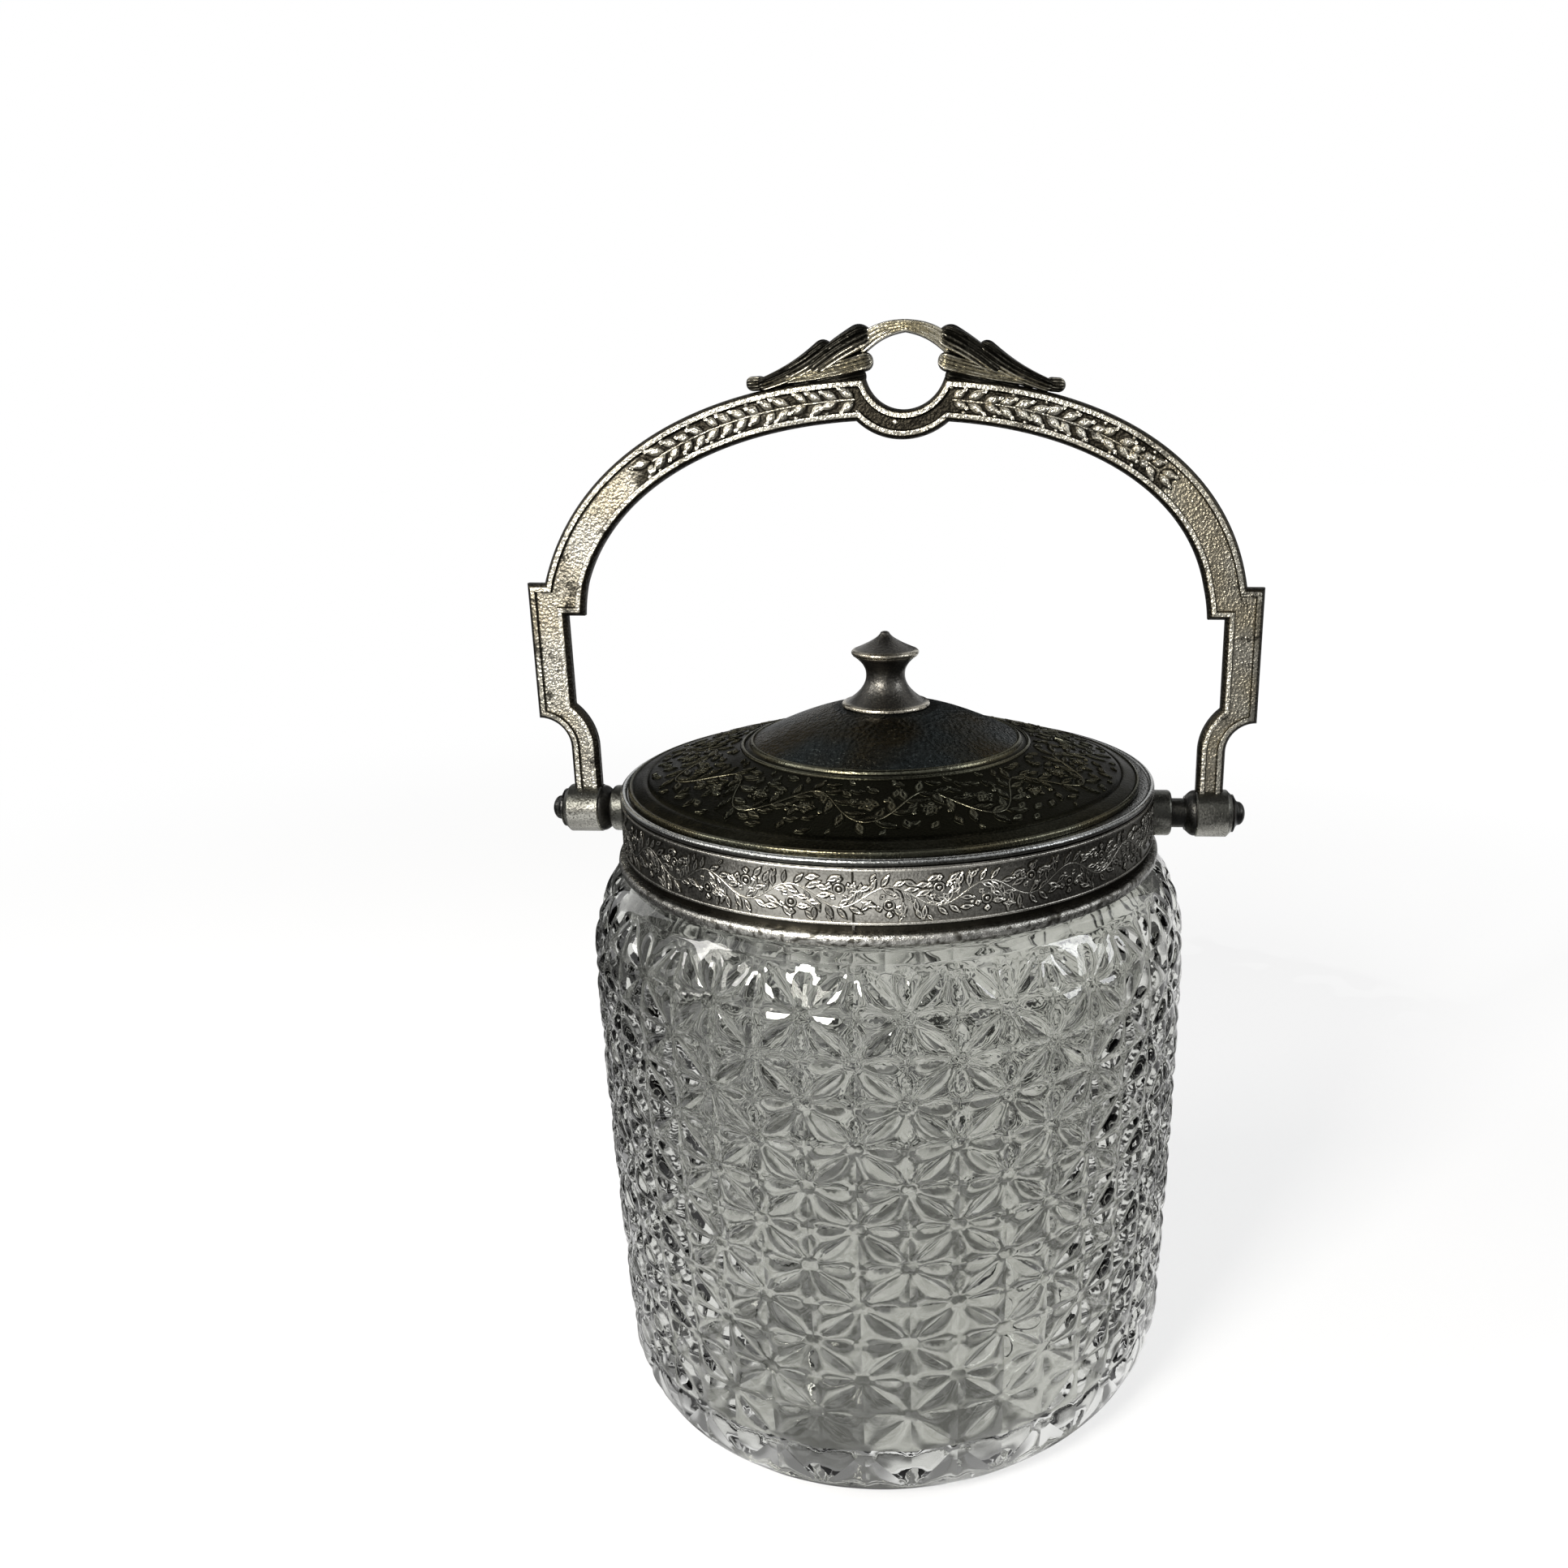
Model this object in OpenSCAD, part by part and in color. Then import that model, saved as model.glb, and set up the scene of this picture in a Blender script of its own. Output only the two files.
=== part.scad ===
// Biscuit jar: a pressed-glass jar with a star-and-diamond wall, a plated collar bedded on its
// neck, a loose domed lid with a turned finial, and a cast swing handle with a leaf crest.
// Units are millimetres. The origin is on the table at the jar's axis, +Z is up, and the
// handle swings about a line parallel to X.

/* [Glass jar] */
// Radius of the glass at its widest, under the shoulder
belly_r = 64.8; // [60:0.1:66]
// Radius of the glass just above the rounded bottom corner
lower_r = 63; // [58:0.1:66]
// Radius of the flat ring that the jar stands on
foot_r = 49.5; // [44:0.1:54]
// Height of the rounded bottom corner
corner_h = 17; // [13:0.5:22]
// Squareness of the bottom corner, where 2 is an ellipse
corner_power = 2.5; // [2:0.1:3.5]
// Height at which the shoulder starts to turn in
shoulder_z = 102; // [95:0.5:112]
// Height of the shoulder curve
shoulder_h = 20.2; // [16:0.1:26]
// Outer radius of the neck
neck_r = 53.6; // [48:0.1:56]
// Height of the neck above the shoulder
neck_h = 11.8; // [9:0.1:16]
// Thickness of the side wall
wall = 4; // [3:0.1:6]
// Thickness of the neck wall
neck_wall = 3.4; // [2.6:0.1:4.5]
// Thickness of the glass floor
floor_t = 7; // [5:0.5:10]
// Width of the standing ring
foot_w = 9; // [5:0.5:14]
// Depth of the hollow inside the standing ring
foot_hollow = 1.5; // [0.5:0.1:2.5]

/* [Star and diamond pattern] */
// Columns of star points around the jar, always even
columns = 42; // [30:2:54]
// Rows of triangles up the wall
rows = 12; // [9:1:15]
// Height of the lowest full row of star points
first_row_z = 15.8; // [14:0.1:18]
// Height of the extra row on the bottom corner
corner_row_z = 5; // [3.5:0.1:7]
// Height left plain between the top row and the neck
plain_shoulder = 3.2; // [2:0.1:6]
// Depth of the grooves at the star points, where eight of them meet
star_depth = 1.1; // [0.4:0.1:1.6]
// Depth of the grooves between the stars, where four of them meet
cross_depth = 0.6; // [0.2:0.1:1.2]
// Angle of the first column from the front of the jar
pattern_turn = 5.3; // [0:0.1:17]

/* [Collar] */
// Thickness of the plaster between the neck and the band
plaster_t = 2.5; // [1.5:0.1:4]
// Thickness of the band's sheet metal
sheet = 0.8; // [0.6:0.1:1.2]
// Height of the band between its bead and its rim
band_h = 12.4; // [11.6:0.1:15]
// Radius of the half-round bead under the band
bead_r = 1.5; // [1.1:0.1:2]
// Radius of the thin ridge over the embossed field
ridge_r = 0.3; // [0.2:0.05:0.5]
// Height of the plain groove between the bead and the field
groove_h = 1.4; // [0.8:0.1:2.2]
// Depth of that groove
groove_d = 0.4; // [0.2:0.05:0.5]
// Thickness of the seat that the lid stands on
seat_t = 1; // [0.8:0.1:1.4]
// Radius of the rolled edge around the seat
roll_r = 0.7; // [0.5:0.05:0.9]
// Length of the sleeve that lines the mouth, below the seat
sleeve_h = 9.6; // [6:0.1:12]
// Thickness of that sleeve
sleeve_t = 0.7; // [0.5:0.1:1]

/* [Lid] */
// Width of seat left bare outside the lid
seat_bare = 2.2; // [1.8:0.1:3]
// Distance by which the lid has slid in its seat, along X
lid_slid = -0.8; // [-0.8:0.1:0.8]
// Height of the lid's rounded lip
lip_h = 1.3; // [1:0.1:2]
// Width of that lip
lip_w = 1.2; // [0.9:0.1:2]
// Rise from the lip to the foot of the dome
crown_h = 6.9; // [4:0.1:10]
// Radius of the dome at its foot
dome_r = 29.8; // [24:0.1:34]
// Height of the dome
dome_h = 7.6; // [5:0.1:12]
// Fullness of the dome's flank, where 1 is a straight cone
dome_power = 1.4; // [1:0.1:2.4]
// Radius of the two beads around the dome's foot
dome_bead_r = 0.5; // [0.3:0.05:0.8]
// Distance between those two beads
dome_bead_gap = 1.9; // [1.4:0.1:3]
// Thickness of the lid's sheet metal
lid_sheet = 0.8; // [0.6:0.1:1]
// Depth of the locating flange below the seat
flange_h = 6; // [4:0.1:9]
// Thickness of the locating flange
flange_t = 0.7; // [0.5:0.1:1]

/* [Finial] */
// Radius of the finial's foot
finial_foot_r = 9.4; // [7:0.1:12]
// Radius of its waist
finial_waist_r = 4.15; // [3.4:0.05:5]
// Radius of its disc
finial_disc_r = 7.2; // [6:0.1:9]
// Height of the foot's edge
finial_foot_h = 0.8; // [0.6:0.1:1.4]
// Height from the foot to the waist
finial_stem_h = 5.9; // [5:0.1:9]
// Height from the waist to the disc
finial_throat_h = 4.2; // [3:0.1:6]
// Height of the disc's edge
finial_disc_h = 1.2; // [0.8:0.1:2]
// Height of the pointed cap above the disc
finial_cap_h = 3.9; // [3:0.1:6]
// Radius of the stud that holds the finial
stud_r = 1.5; // [1.2:0.1:2]
// Depth of the stud in the finial
stud_depth = 7; // [4:0.1:9]
// Thickness of the washer under the dome
washer_t = 0.6; // [0.4:0.1:1]
// Radius of that washer
washer_r = 4; // [3.2:0.1:6]
// Thickness of the nut
nut_t = 2.4; // [1.8:0.1:3.5]
// Width of the nut across its flats
nut_af = 5.5; // [4.6:0.1:7]

/* [Handle] */
// Thickness of the cast handle, front to back
cast_t = 3.6; // [2.6:0.1:5]
// Width of the lower stems
stem_w = 5.9; // [5:0.1:7]
// Width of the upright bars
bar_w = 7.9; // [6:0.1:10]
// Distance by which the bars stand outside the stems
bar_out = 6.4; // [4:0.1:8]
// Height of the foot of the bars above the pivot
bar_foot_h = 20.4; // [16:0.1:24]
// Height of the top of the bars, outside
bar_top_h = 49.4; // [44:0.1:54]
// Height of the top of the bars, inside
bar_inside_h = 42.6; // [40:0.1:46]
// Width of the square step where the arch stands on the bars
step_w = 3.6; // [2:0.1:5]
// Height of the arch's outer edge at its middle
arch_out_h = 91.1; // [86:0.1:98]
// Height of the arch's inner edge at its middle
arch_in_h = 82.7; // [74:0.1:85]
// Height from which the outer edge curves
arch_out_base = 34.5; // [30:0.1:42]
// Height from which the inner edge curves
arch_in_base = 39.3; // [32:0.1:41]
// Squareness of the arch's outer edge, where 2 is an ellipse
arch_out_power = 2.3; // [2:0.02:2.5]
// Squareness of the arch's inner edge
arch_in_power = 2.2; // [2:0.02:2.5]
// Width of the raised rims along the handle
rim_w = 1.1; // [0.7:0.1:1.6]
// Depth of the channel between those rims, on each face
channel_d = 0.7; // [0.4:0.1:1]
// Height of the ring's centre above the arch's outer edge
ring_rise = 1.9; // [0:0.1:3.5]
// Radius of the finger hole in the ring
hole_r = 8.2; // [7:0.1:9.5]
// Width of metal below the hole
ring_w = 5.9; // [4.5:0.1:7]
// Height of the hole's pointed top above its centre
hole_point = 7.8; // [6.5:0.1:9]
// Thickness of the crest's leaves, front to back
leaf_t = 4.6; // [3.8:0.1:6]

/* [Pivots] */
// Height of the pivots below the lid's seat
pivot_drop = 7.9; // [6:0.1:9]
// Radius of the lugs on the collar
lug_r = 5; // [4:0.1:5.6]
// Length of the lugs outside the collar
lug_len = 4.2; // [3:0.1:7]
// Radius of the pivot screws
pin_r = 3.2; // [2:0.1:3.6]
// Radius of the handle's eyes
eye_r = 5.2; // [4.4:0.1:6]
// Length of the handle's eyes
eye_len = 7.9; // [6:0.1:10]
// Length of the cone-shaped bushes
bush_len = 2.2; // [1:0.1:3]
// Length of the screws' domed heads
head_len = 3; // [2.4:0.1:4]
// Free play of the handle along its pivots, on each side
side_play = 1.6; // [0.6:0.1:2.4]
// Distance by which the handle has moved along its pivots
handle_slid = 1.45; // [-1.5:0.05:1.5]
// Sideways bend of the arch, from long use, at the height of the ring's centre
arch_bend = 2.8; // [-3:0.1:3]

/* [Fits] */
// Gap between the glass and the parts bedded round it
bed_gap = 0.1; // [0.05:0.05:0.4]
// Gap between the glass and the sleeve in its mouth
mouth_gap = 0.3; // [0.2:0.05:0.6]
// Gap around the lid's flange in the sleeve
flange_gap = 1.1; // [1.05:0.05:1.5]
// Radial running gap of the pivots
running_gap = 0.06; // [0.02:0.01:0.1]
// End gap between a screw's head and its eye
head_gap = 0.15; // [0.1:0.05:0.4]

/* [Hidden] */
$fn = 96;
glass_tint = [0.80, 0.83, 0.80, 0.55];
silver = [0.62, 0.60, 0.54];
dark_silver = [0.30, 0.29, 0.26];
plaster_white = [0.88, 0.86, 0.80];
nickel = [0.72, 0.70, 0.64];
brass = [0.66, 0.55, 0.32];

// ---- Heights and radii that follow from the values above ----
shoulder_top = shoulder_z + shoulder_h;
mouth_z = shoulder_top + neck_h;
mouth_r = neck_r - neck_wall;
bead_z = shoulder_top + bead_r - 0.6;
band_z = bead_z + 0.73 * bead_r;
band_in_r = neck_r + bed_gap + plaster_t;
band_r = band_in_r + sheet;
bead_ring_r = band_r - 0.1;
band_top = band_z + band_h;
seat_z = band_top + seat_t;
sleeve_r = mouth_r - mouth_gap;
lid_r = band_r - seat_bare;
lip_top = seat_z + lip_h;
crown_r = lid_r - lip_w + 0.2;
dome_z = lip_top + crown_h;
dome_top = dome_z + dome_h;
flange_r = sleeve_r - sleeve_t - flange_gap;
pivot_z = seat_z - pivot_drop;
lug_end = band_r + lug_len;
bush_in = lug_end + side_play;
eye_in = bush_in + bush_len;
eye_out = eye_in + eye_len;
stem_in = eye_in;
stem_out = stem_in + stem_w;
bar_out_x = stem_out + bar_out;
bar_in_x = bar_out_x - bar_w;
arch_out_x = bar_out_x - step_w + 1.4;
arch_in_x = bar_in_x - step_w;
bend_h = bar_foot_h - (bar_out_x - stem_out);
ring_h = arch_out_h + ring_rise;

// ---- Small helpers ----

// Points of an arc about (cx, cy), from angle a0 to a1
function arc(cx, cy, r, a0, a1, n = 12) =
    [for (i = [0:n]) let (a = a0 + (a1 - a0) * i / n) [cx + r * cos(a), cy + r * sin(a)]];

// Height on a superellipse of half-width a and height b, at distance x from its middle
function super_h(x, a, b, p) = b * pow(max(0, 1 - pow(min(1, abs(x) / a), p)), 1 / p);

// Half-width of the same curve at height h
function super_x(h, a, b, p) = a * pow(max(0, 1 - pow(min(1, abs(h) / b), p)), 1 / p);

// A solid turned about Z from its half profile
module turned(points) {
    rotate_extrude() polygon(points);
}

// Sideways shift of the arch at a height above the pivot, none as far up as the bars go
function shift_x(h) = arch_bend * max(0, h - bar_top_h) / (ring_h - bar_top_h);
// Points of the frame's outline, shifted with their height
function bent(points) = [for (p = points) [p[0] + shift_x(p[1]), p[1]]];

// Lays a flat outline, drawn as (x, height above the pivot), upright in the handle's plane
module upright(thickness) {
    translate([handle_slid, 0, pivot_z]) rotate([90, 0, 0])
        linear_extrude(height = thickness, center = true) children();
}

// Puts a solid turned about Z on the pivot line, pointing out along side * X
module on_pivot(side, slid = 0) {
    translate([slid, 0, pivot_z]) rotate([0, 90 * side, 0]) children();
}

// ---- Glass jar: a closed skin of rings, with the star pattern between its outer rows ----

// Radius of the glass at height z, before the pattern is pressed in
function glass_r(z) =
    z < corner_h
    ? foot_r + (lower_r - foot_r)
        * pow(1 - pow(1 - z / corner_h, corner_power), 1 / corner_power)
    : z < shoulder_z
    ? lower_r + (belly_r - lower_r) * sin(90 * (z - corner_h) / (shoulder_z - corner_h))
    : neck_r + (belly_r - neck_r) * sqrt(max(0, 1 - pow((z - shoulder_z) / shoulder_h, 2)));

row_h = (shoulder_top - plain_shoulder - first_row_z) / rows;
row_z = concat([corner_row_z], [for (j = [0:rows]) first_row_z + j * row_h]);

// Rings are [radius, height], from the middle of the underside out, up and back inside
under_rings = [
    [foot_r - foot_w - foot_hollow, foot_hollow], [foot_r - foot_w, 0], [foot_r, 0],
    [glass_r(0.4), 0.4], [glass_r(1.8), 1.8]
];
star_rings = [for (z = row_z) [glass_r(z), z]];
top_rings = [
    for (i = [1:3]) let (z = shoulder_top - plain_shoulder * (1 - i / 3)) [glass_r(z), z],
    [neck_r, mouth_z - 1], [neck_r - 0.9, mouth_z], [mouth_r + 0.9, mouth_z],
    [mouth_r, mouth_z - 1], [mouth_r, shoulder_top - 1]
];
inside_r = belly_r - wall;
inside_low_r = lower_r - wall;
floor_corner = 9;
inside_rings = concat(
    [for (a = [75:-25:0]) [
        mouth_r + (inside_r - mouth_r) * cos(a),
        shoulder_z - 2 + (shoulder_h + 1) * sin(a) * 0.9
    ]],
    [[(inside_r + inside_low_r) / 2, (shoulder_z + floor_t) / 2]],
    [for (a = [0:30:90]) [
        inside_low_r - floor_corner * (1 - cos(a)),
        floor_t + floor_corner * (1 - sin(a))
    ]]
);
rings = concat(under_rings, star_rings, top_rings, inside_rings);
first_star = len(under_rings);
last_star = first_star + len(star_rings) - 1;

// True where a row of the lattice has a star point in column k
function is_star(k, j) = (k + j) % 2 == 0;

// Point on ring i in column k, pressed in where grooves meet
function ring_point(i, k) =
    let (
        grooved = i > first_star && i < last_star,
        depth = !grooved ? 0 : is_star(k, i - first_star) ? star_depth : cross_depth,
        r = rings[i][0] - depth,
        a = pattern_turn - 90 + k * 360 / columns
    )
    [r * cos(a), r * sin(a), rings[i][1]];

// Crown of a pillow between the grooves, at a share of the way across column k and up row i
function pillow_point(i, k, across, up) =
    let (
        z = rings[i][1] + (rings[i + 1][1] - rings[i][1]) * up,
        a = pattern_turn - 90 + (k + across) * 360 / columns
    )
    [glass_r(z) * cos(a), glass_r(z) * sin(a), z];

module glass_jar() {
    ring_count = len(rings);
    ring_points = [for (i = [0:ring_count - 1]) for (k = [0:columns - 1]) ring_point(i, k)];
    pillow_points = [
        for (i = [first_star:last_star - 1]) for (k = [0:columns - 1])
        let (rising = is_star(k, i - first_star))
        each [
            pillow_point(i, k, 1 / 3, rising ? 2 / 3 : 1 / 3),
            pillow_point(i, k, 2 / 3, rising ? 1 / 3 : 2 / 3)
        ]
    ];
    under_middle = len(ring_points) + len(pillow_points);
    function on_ring(i, k) = i * columns + (k + columns) % columns;
    function crown(i, k, n) = len(ring_points) + 2 * ((i - first_star) * columns + k) + n;
    plain_faces = [
        for (i = [0:ring_count - 2]) if (i < first_star || i >= last_star)
        for (k = [0:columns - 1])
        each [
            [on_ring(i, k), on_ring(i + 1, k), on_ring(i + 1, k + 1)],
            [on_ring(i, k), on_ring(i + 1, k + 1), on_ring(i, k + 1)]
        ]
    ];
    pillow_faces = [
        for (i = [first_star:last_star - 1]) for (k = [0:columns - 1])
        let (
            rising = is_star(k, i - first_star),
            a = on_ring(i, k), b = on_ring(i + 1, k),
            c = on_ring(i + 1, k + 1), d = on_ring(i, k + 1),
            left = crown(i, k, 0), right = crown(i, k, 1)
        )
        each (rising
            ? [[a, b, left], [b, c, left], [c, a, left], [a, c, right], [c, d, right], [d, a, right]]
            : [[a, b, left], [b, d, left], [d, a, left], [d, b, right], [b, c, right], [c, d, right]])
    ];
    end_faces = [
        for (k = [0:columns - 1])
        each [
            [under_middle, on_ring(0, k), on_ring(0, k + 1)],
            [under_middle + 1, on_ring(ring_count - 1, k + 1), on_ring(ring_count - 1, k)]
        ]
    ];
    color(glass_tint)
    polyhedron(
        points = concat(ring_points, pillow_points, [[0, 0, foot_hollow], [0, 0, floor_t]]),
        faces = concat(plain_faces, pillow_faces, end_faces),
        convexity = 6
    );
}

// Plaster that fills the channel between the neck and the collar
module plaster_bed() {
    color(plaster_white)
    turned([
        [neck_r + bed_gap, band_z], [band_in_r, band_z], [band_in_r, band_top],
        [mouth_r + bed_gap, band_top], [mouth_r + bed_gap, mouth_z + bed_gap],
        [neck_r + bed_gap, mouth_z + bed_gap]
    ]);
}

// ---- Collar ----

// Embossed band: a strip with a groove round its foot and a thin ridge round its top
module collar_band() {
    color(silver)
    rotate_extrude() {
        difference() {
            translate([band_in_r, band_z]) square([sheet, band_h]);
            translate([band_r - groove_d, band_z - 1]) square([sheet, groove_h + 1]);
        }
        translate([band_r, band_top - ridge_r]) circle(r = ridge_r);
    }
}

// Bead under the band, flat on top where the band stands on it
module collar_bead() {
    color(dark_silver)
    rotate_extrude() difference() {
        translate([bead_ring_r, bead_z]) circle(r = bead_r);
        translate([bead_ring_r - 2 * bead_r, band_z]) square([4 * bead_r, 2 * bead_r]);
    }
}

// Seat ring with its rolled edge, and the sleeve that lines the mouth
module collar_rim() {
    color(silver)
    rotate_extrude() {
        translate([sleeve_r - sleeve_t, seat_z - sleeve_h]) square([sleeve_t, sleeve_h]);
        translate([sleeve_r - sleeve_t, band_top])
            square([band_r - roll_r - sleeve_r + sleeve_t, seat_t]);
        intersection() {
            translate([band_r - roll_r + 0.15, seat_z - 0.2]) circle(r = roll_r);
            translate([band_r - 2 * roll_r, band_top]) square([3 * roll_r, 3 * roll_r]);
        }
    }
}

// ---- Lid ----

// Height of the lid's outer face at radius r, without its beads
function lid_face(r) =
    r < dome_r
    ? dome_z + dome_h * (1 - pow(max(0, r - finial_foot_r) / (dome_r - finial_foot_r), dome_power))
    : lip_top - 0.15 + (crown_h + 0.15) * pow(max(0, crown_r - r) / (crown_r - dome_r), 0.9);

crown_steps = [for (i = [0:16]) crown_r + (dome_r - crown_r) * i / 16];
dome_steps = [for (i = [1:16]) dome_r + (finial_foot_r - dome_r) * i / 16];
lid_steps = concat(crown_steps, dome_steps, [0]);

module lid_plate() {
    color(dark_silver)
    translate([lid_slid, 0, 0])
    difference() {
        rotate_extrude() {
            polygon(concat(
                [for (r = lid_steps) [r, lid_face(r)]],
                [for (i = [len(lid_steps) - 1:-1:0]) [lid_steps[i], lid_face(lid_steps[i]) - lid_sheet]]
            ));
            hull() {
                translate([lid_r - lip_w, seat_z]) square([lip_w, 0.3]);
                translate([lid_r - lip_w / 2, lip_top - lip_w / 2]) circle(d = lip_w, $fn = 32);
            }
            for (s = [-0.5, 0.5])
                translate([dome_r + s * dome_bead_gap, lid_face(dome_r + s * dome_bead_gap) - 0.1])
                    circle(r = dome_bead_r, $fn = 24);
        }
        translate([0, 0, dome_top - 2 * lid_sheet])
            cylinder(r = stud_r + bed_gap, h = 3 * lid_sheet);
    }
}

// Ring soldered under the lid, which keeps it over the mouth
module lid_flange() {
    color(dark_silver)
    translate([lid_slid, 0, 0])
    turned([
        [flange_r - flange_t, seat_z - flange_h], [flange_r, seat_z - flange_h],
        [flange_r, lid_face(flange_r) - lid_sheet],
        [flange_r - flange_t, lid_face(flange_r - flange_t) - lid_sheet]
    ]);
}

// ---- Finial: a turned knob on a stud, held by a washer and a nut inside the dome ----
foot_top = dome_top + finial_foot_h;
waist_z = foot_top + finial_stem_h;
disc_z = waist_z + finial_throat_h;
cap_z = disc_z + finial_disc_h;
washer_z = lid_face(washer_r) - lid_sheet - 0.01 - washer_t;

// Concave flank between two radii, tangent to the waist
function flank(r0, z0, r1, z1, power, n = 10) =
    [for (i = [0:n]) let (t = i / n) [r1 + (r0 - r1) * pow(1 - t, power), z0 + (z1 - z0) * t]];

module finial() {
    color(dark_silver)
    translate([lid_slid, 0, 0])
    difference() {
        turned(concat(
            [[0, dome_top], [finial_foot_r, dome_top]],
            flank(finial_foot_r, foot_top, finial_waist_r, waist_z, 2.1),
            [for (i = [1:8]) let (t = i / 8)
                [finial_waist_r + (finial_disc_r - 0.3 - finial_waist_r) * pow(t, 2.2),
                 waist_z + finial_throat_h * t]],
            [[finial_disc_r, disc_z + 0.3], [finial_disc_r, cap_z - 0.3]],
            flank(finial_disc_r - 0.4, cap_z, 0.9, cap_z + finial_cap_h - 0.25, 1.5),
            [[0, cap_z + finial_cap_h]]
        ));
        translate([0, 0, dome_top - 1]) cylinder(r = stud_r, h = stud_depth + 1);
    }
}

module finial_stud() {
    under = washer_z - nut_t - 1.2;
    color(brass)
    translate([lid_slid, 0, under]) cylinder(r = stud_r, h = dome_top + stud_depth - under);
}

module finial_washer() {
    color(brass)
    translate([lid_slid, 0, washer_z])
    difference() {
        cylinder(r = washer_r, h = washer_t);
        translate([0, 0, -1]) cylinder(r = stud_r + bed_gap, h = washer_t + 2);
    }
}

module finial_nut() {
    color(brass)
    translate([lid_slid, 0, washer_z - nut_t])
    difference() {
        cylinder(r = nut_af / sqrt(3), h = nut_t, $fn = 6);
        translate([0, 0, -1]) cylinder(r = stud_r, h = nut_t + 2);
    }
}

// ---- Pivots: lugs soldered to the collar, screws with domed heads, bushes and eyes ----
module lug(side) {
    color(dark_silver)
    difference() {
        on_pivot(side) difference() {
            turned([
                [0, band_in_r], [lug_r, band_in_r], [lug_r, lug_end - 0.8],
                [lug_r - 0.25, lug_end - 0.25], [lug_r - 0.8, lug_end], [0, lug_end]
            ]);
            translate([0, 0, band_r - 2]) cylinder(r = pin_r, h = lug_len + 3);
        }
        translate([0, 0, pivot_z - 2 * lug_r]) cylinder(r = band_r, h = 4 * lug_r);
    }
}

module pivot_screw(side) {
    seat = eye_out + side * handle_slid + head_gap;
    color(nickel)
    on_pivot(side)
    turned(concat(
        [[0, band_r + 0.3], [pin_r, band_r + 0.3], [pin_r, seat], [0.8 * eye_r, seat]],
        [[0.8 * eye_r, seat + 0.4]],
        [for (i = [1:3]) [0.8 * eye_r - 0.3 * eye_r * sin(30 * i), seat + 0.4 + 0.35 * i]],
        [for (a = [15:15:90]) [
            0.5 * eye_r * cos(a), seat + 1.45 + (head_len - 1.45) * sin(a)
        ]]
    ));
}

module pivot_bush(side) {
    color(dark_silver)
    on_pivot(side, handle_slid)
    difference() {
        turned([
            [0, bush_in], [pin_r + 0.7, bush_in], [eye_r - 0.2, eye_in - 0.4],
            [eye_r - 0.2, eye_in], [0, eye_in]
        ]);
        translate([0, 0, bush_in - 1]) cylinder(r = pin_r + running_gap, h = bush_len + 2);
    }
}

module bail_eye(side) {
    color(nickel)
    on_pivot(side, handle_slid)
    difference() {
        turned([
            [0, eye_in], [eye_r, eye_in], [eye_r, eye_out - 1], [0.8 * eye_r, eye_out], [0, eye_out]
        ]);
        translate([0, 0, eye_in - 1]) cylinder(r = pin_r + running_gap, h = eye_len + 2);
    }
}

// ---- Handle frame: stems, upright bars and arch, with a ring at the top ----
outer_rise = arch_out_h - arch_out_base;
inner_rise = arch_in_h - arch_in_base;
function outer_arch_h(x) = arch_out_base + super_h(x, arch_out_x, outer_rise, arch_out_power);
function inner_arch_h(x) = arch_in_base + super_h(x, arch_in_x, inner_rise, arch_in_power);
outer_spring = super_x(bar_top_h - arch_out_base, arch_out_x, outer_rise, arch_out_power);
inner_spring = super_x(bar_inside_h - arch_in_base, arch_in_x, inner_rise, arch_in_power);

// Right half of the frame's outline: outside from the eye to the crown, inside back down
right_outside = concat(
    [[stem_in, 0], [stem_out, 0]],
    arc(bar_out_x, bend_h, bar_out_x - stem_out, 180, 90),
    [[bar_out_x, bar_top_h]],
    [for (i = [0:26]) let (x = outer_spring * cos(90 * i / 26)) [x, outer_arch_h(x)]]
);
right_inside = concat(
    [for (i = [26:-1:0]) let (x = inner_spring * cos(90 * i / 26)) [x, inner_arch_h(x)]],
    [[bar_in_x, bar_inside_h]],
    arc(bar_out_x, bend_h, bar_out_x - stem_in,
        180 - acos((bar_out_x - bar_in_x) / (bar_out_x - stem_in)), 180)
);

// Points mirrored to the left half, in reverse order
function to_left(points) =
    [for (i = [len(points) - 1:-1:0]) if (abs(points[i][0]) > 0.001) [-points[i][0], points[i][1]]];

arch_outline = concat(right_outside, to_left(right_outside), to_left(right_inside), right_inside);

// Upper edge of the finger hole: a pointed arch between the leaves, right half
hole_top = [
    [0.99 * hole_r, -0.14 * hole_r], [0.86 * hole_r, 0.2 * hole_r],
    [0.86 * hole_r, 0.46 * hole_r], [0.65 * hole_r, hole_point - 3.1],
    [0.35 * hole_r, hole_point - 1.9], [0.08 * hole_r, hole_point]
];

// The finger hole: round below, with a pointed top
module finger_hole() {
    a0 = asin(0.14);
    translate([shift_x(ring_h), ring_h])
        polygon(concat(
            arc(0, 0, hole_r, -a0, a0 - 180, 32),
            [for (p = hole_top) [-p[0], p[1]]],
            [for (i = [len(hole_top) - 1:-1:0]) hole_top[i]]
        ));
}

module frame_outline() {
    difference() {
        union() {
            polygon(bent(arch_outline));
            intersection() {
                translate([shift_x(ring_h), ring_h]) circle(r = hole_r + ring_w);
                translate([-2 * ring_h, 0]) square([4 * ring_h, arch_out_h - 1]);
            }
        }
        finger_hole();
    }
}

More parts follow.
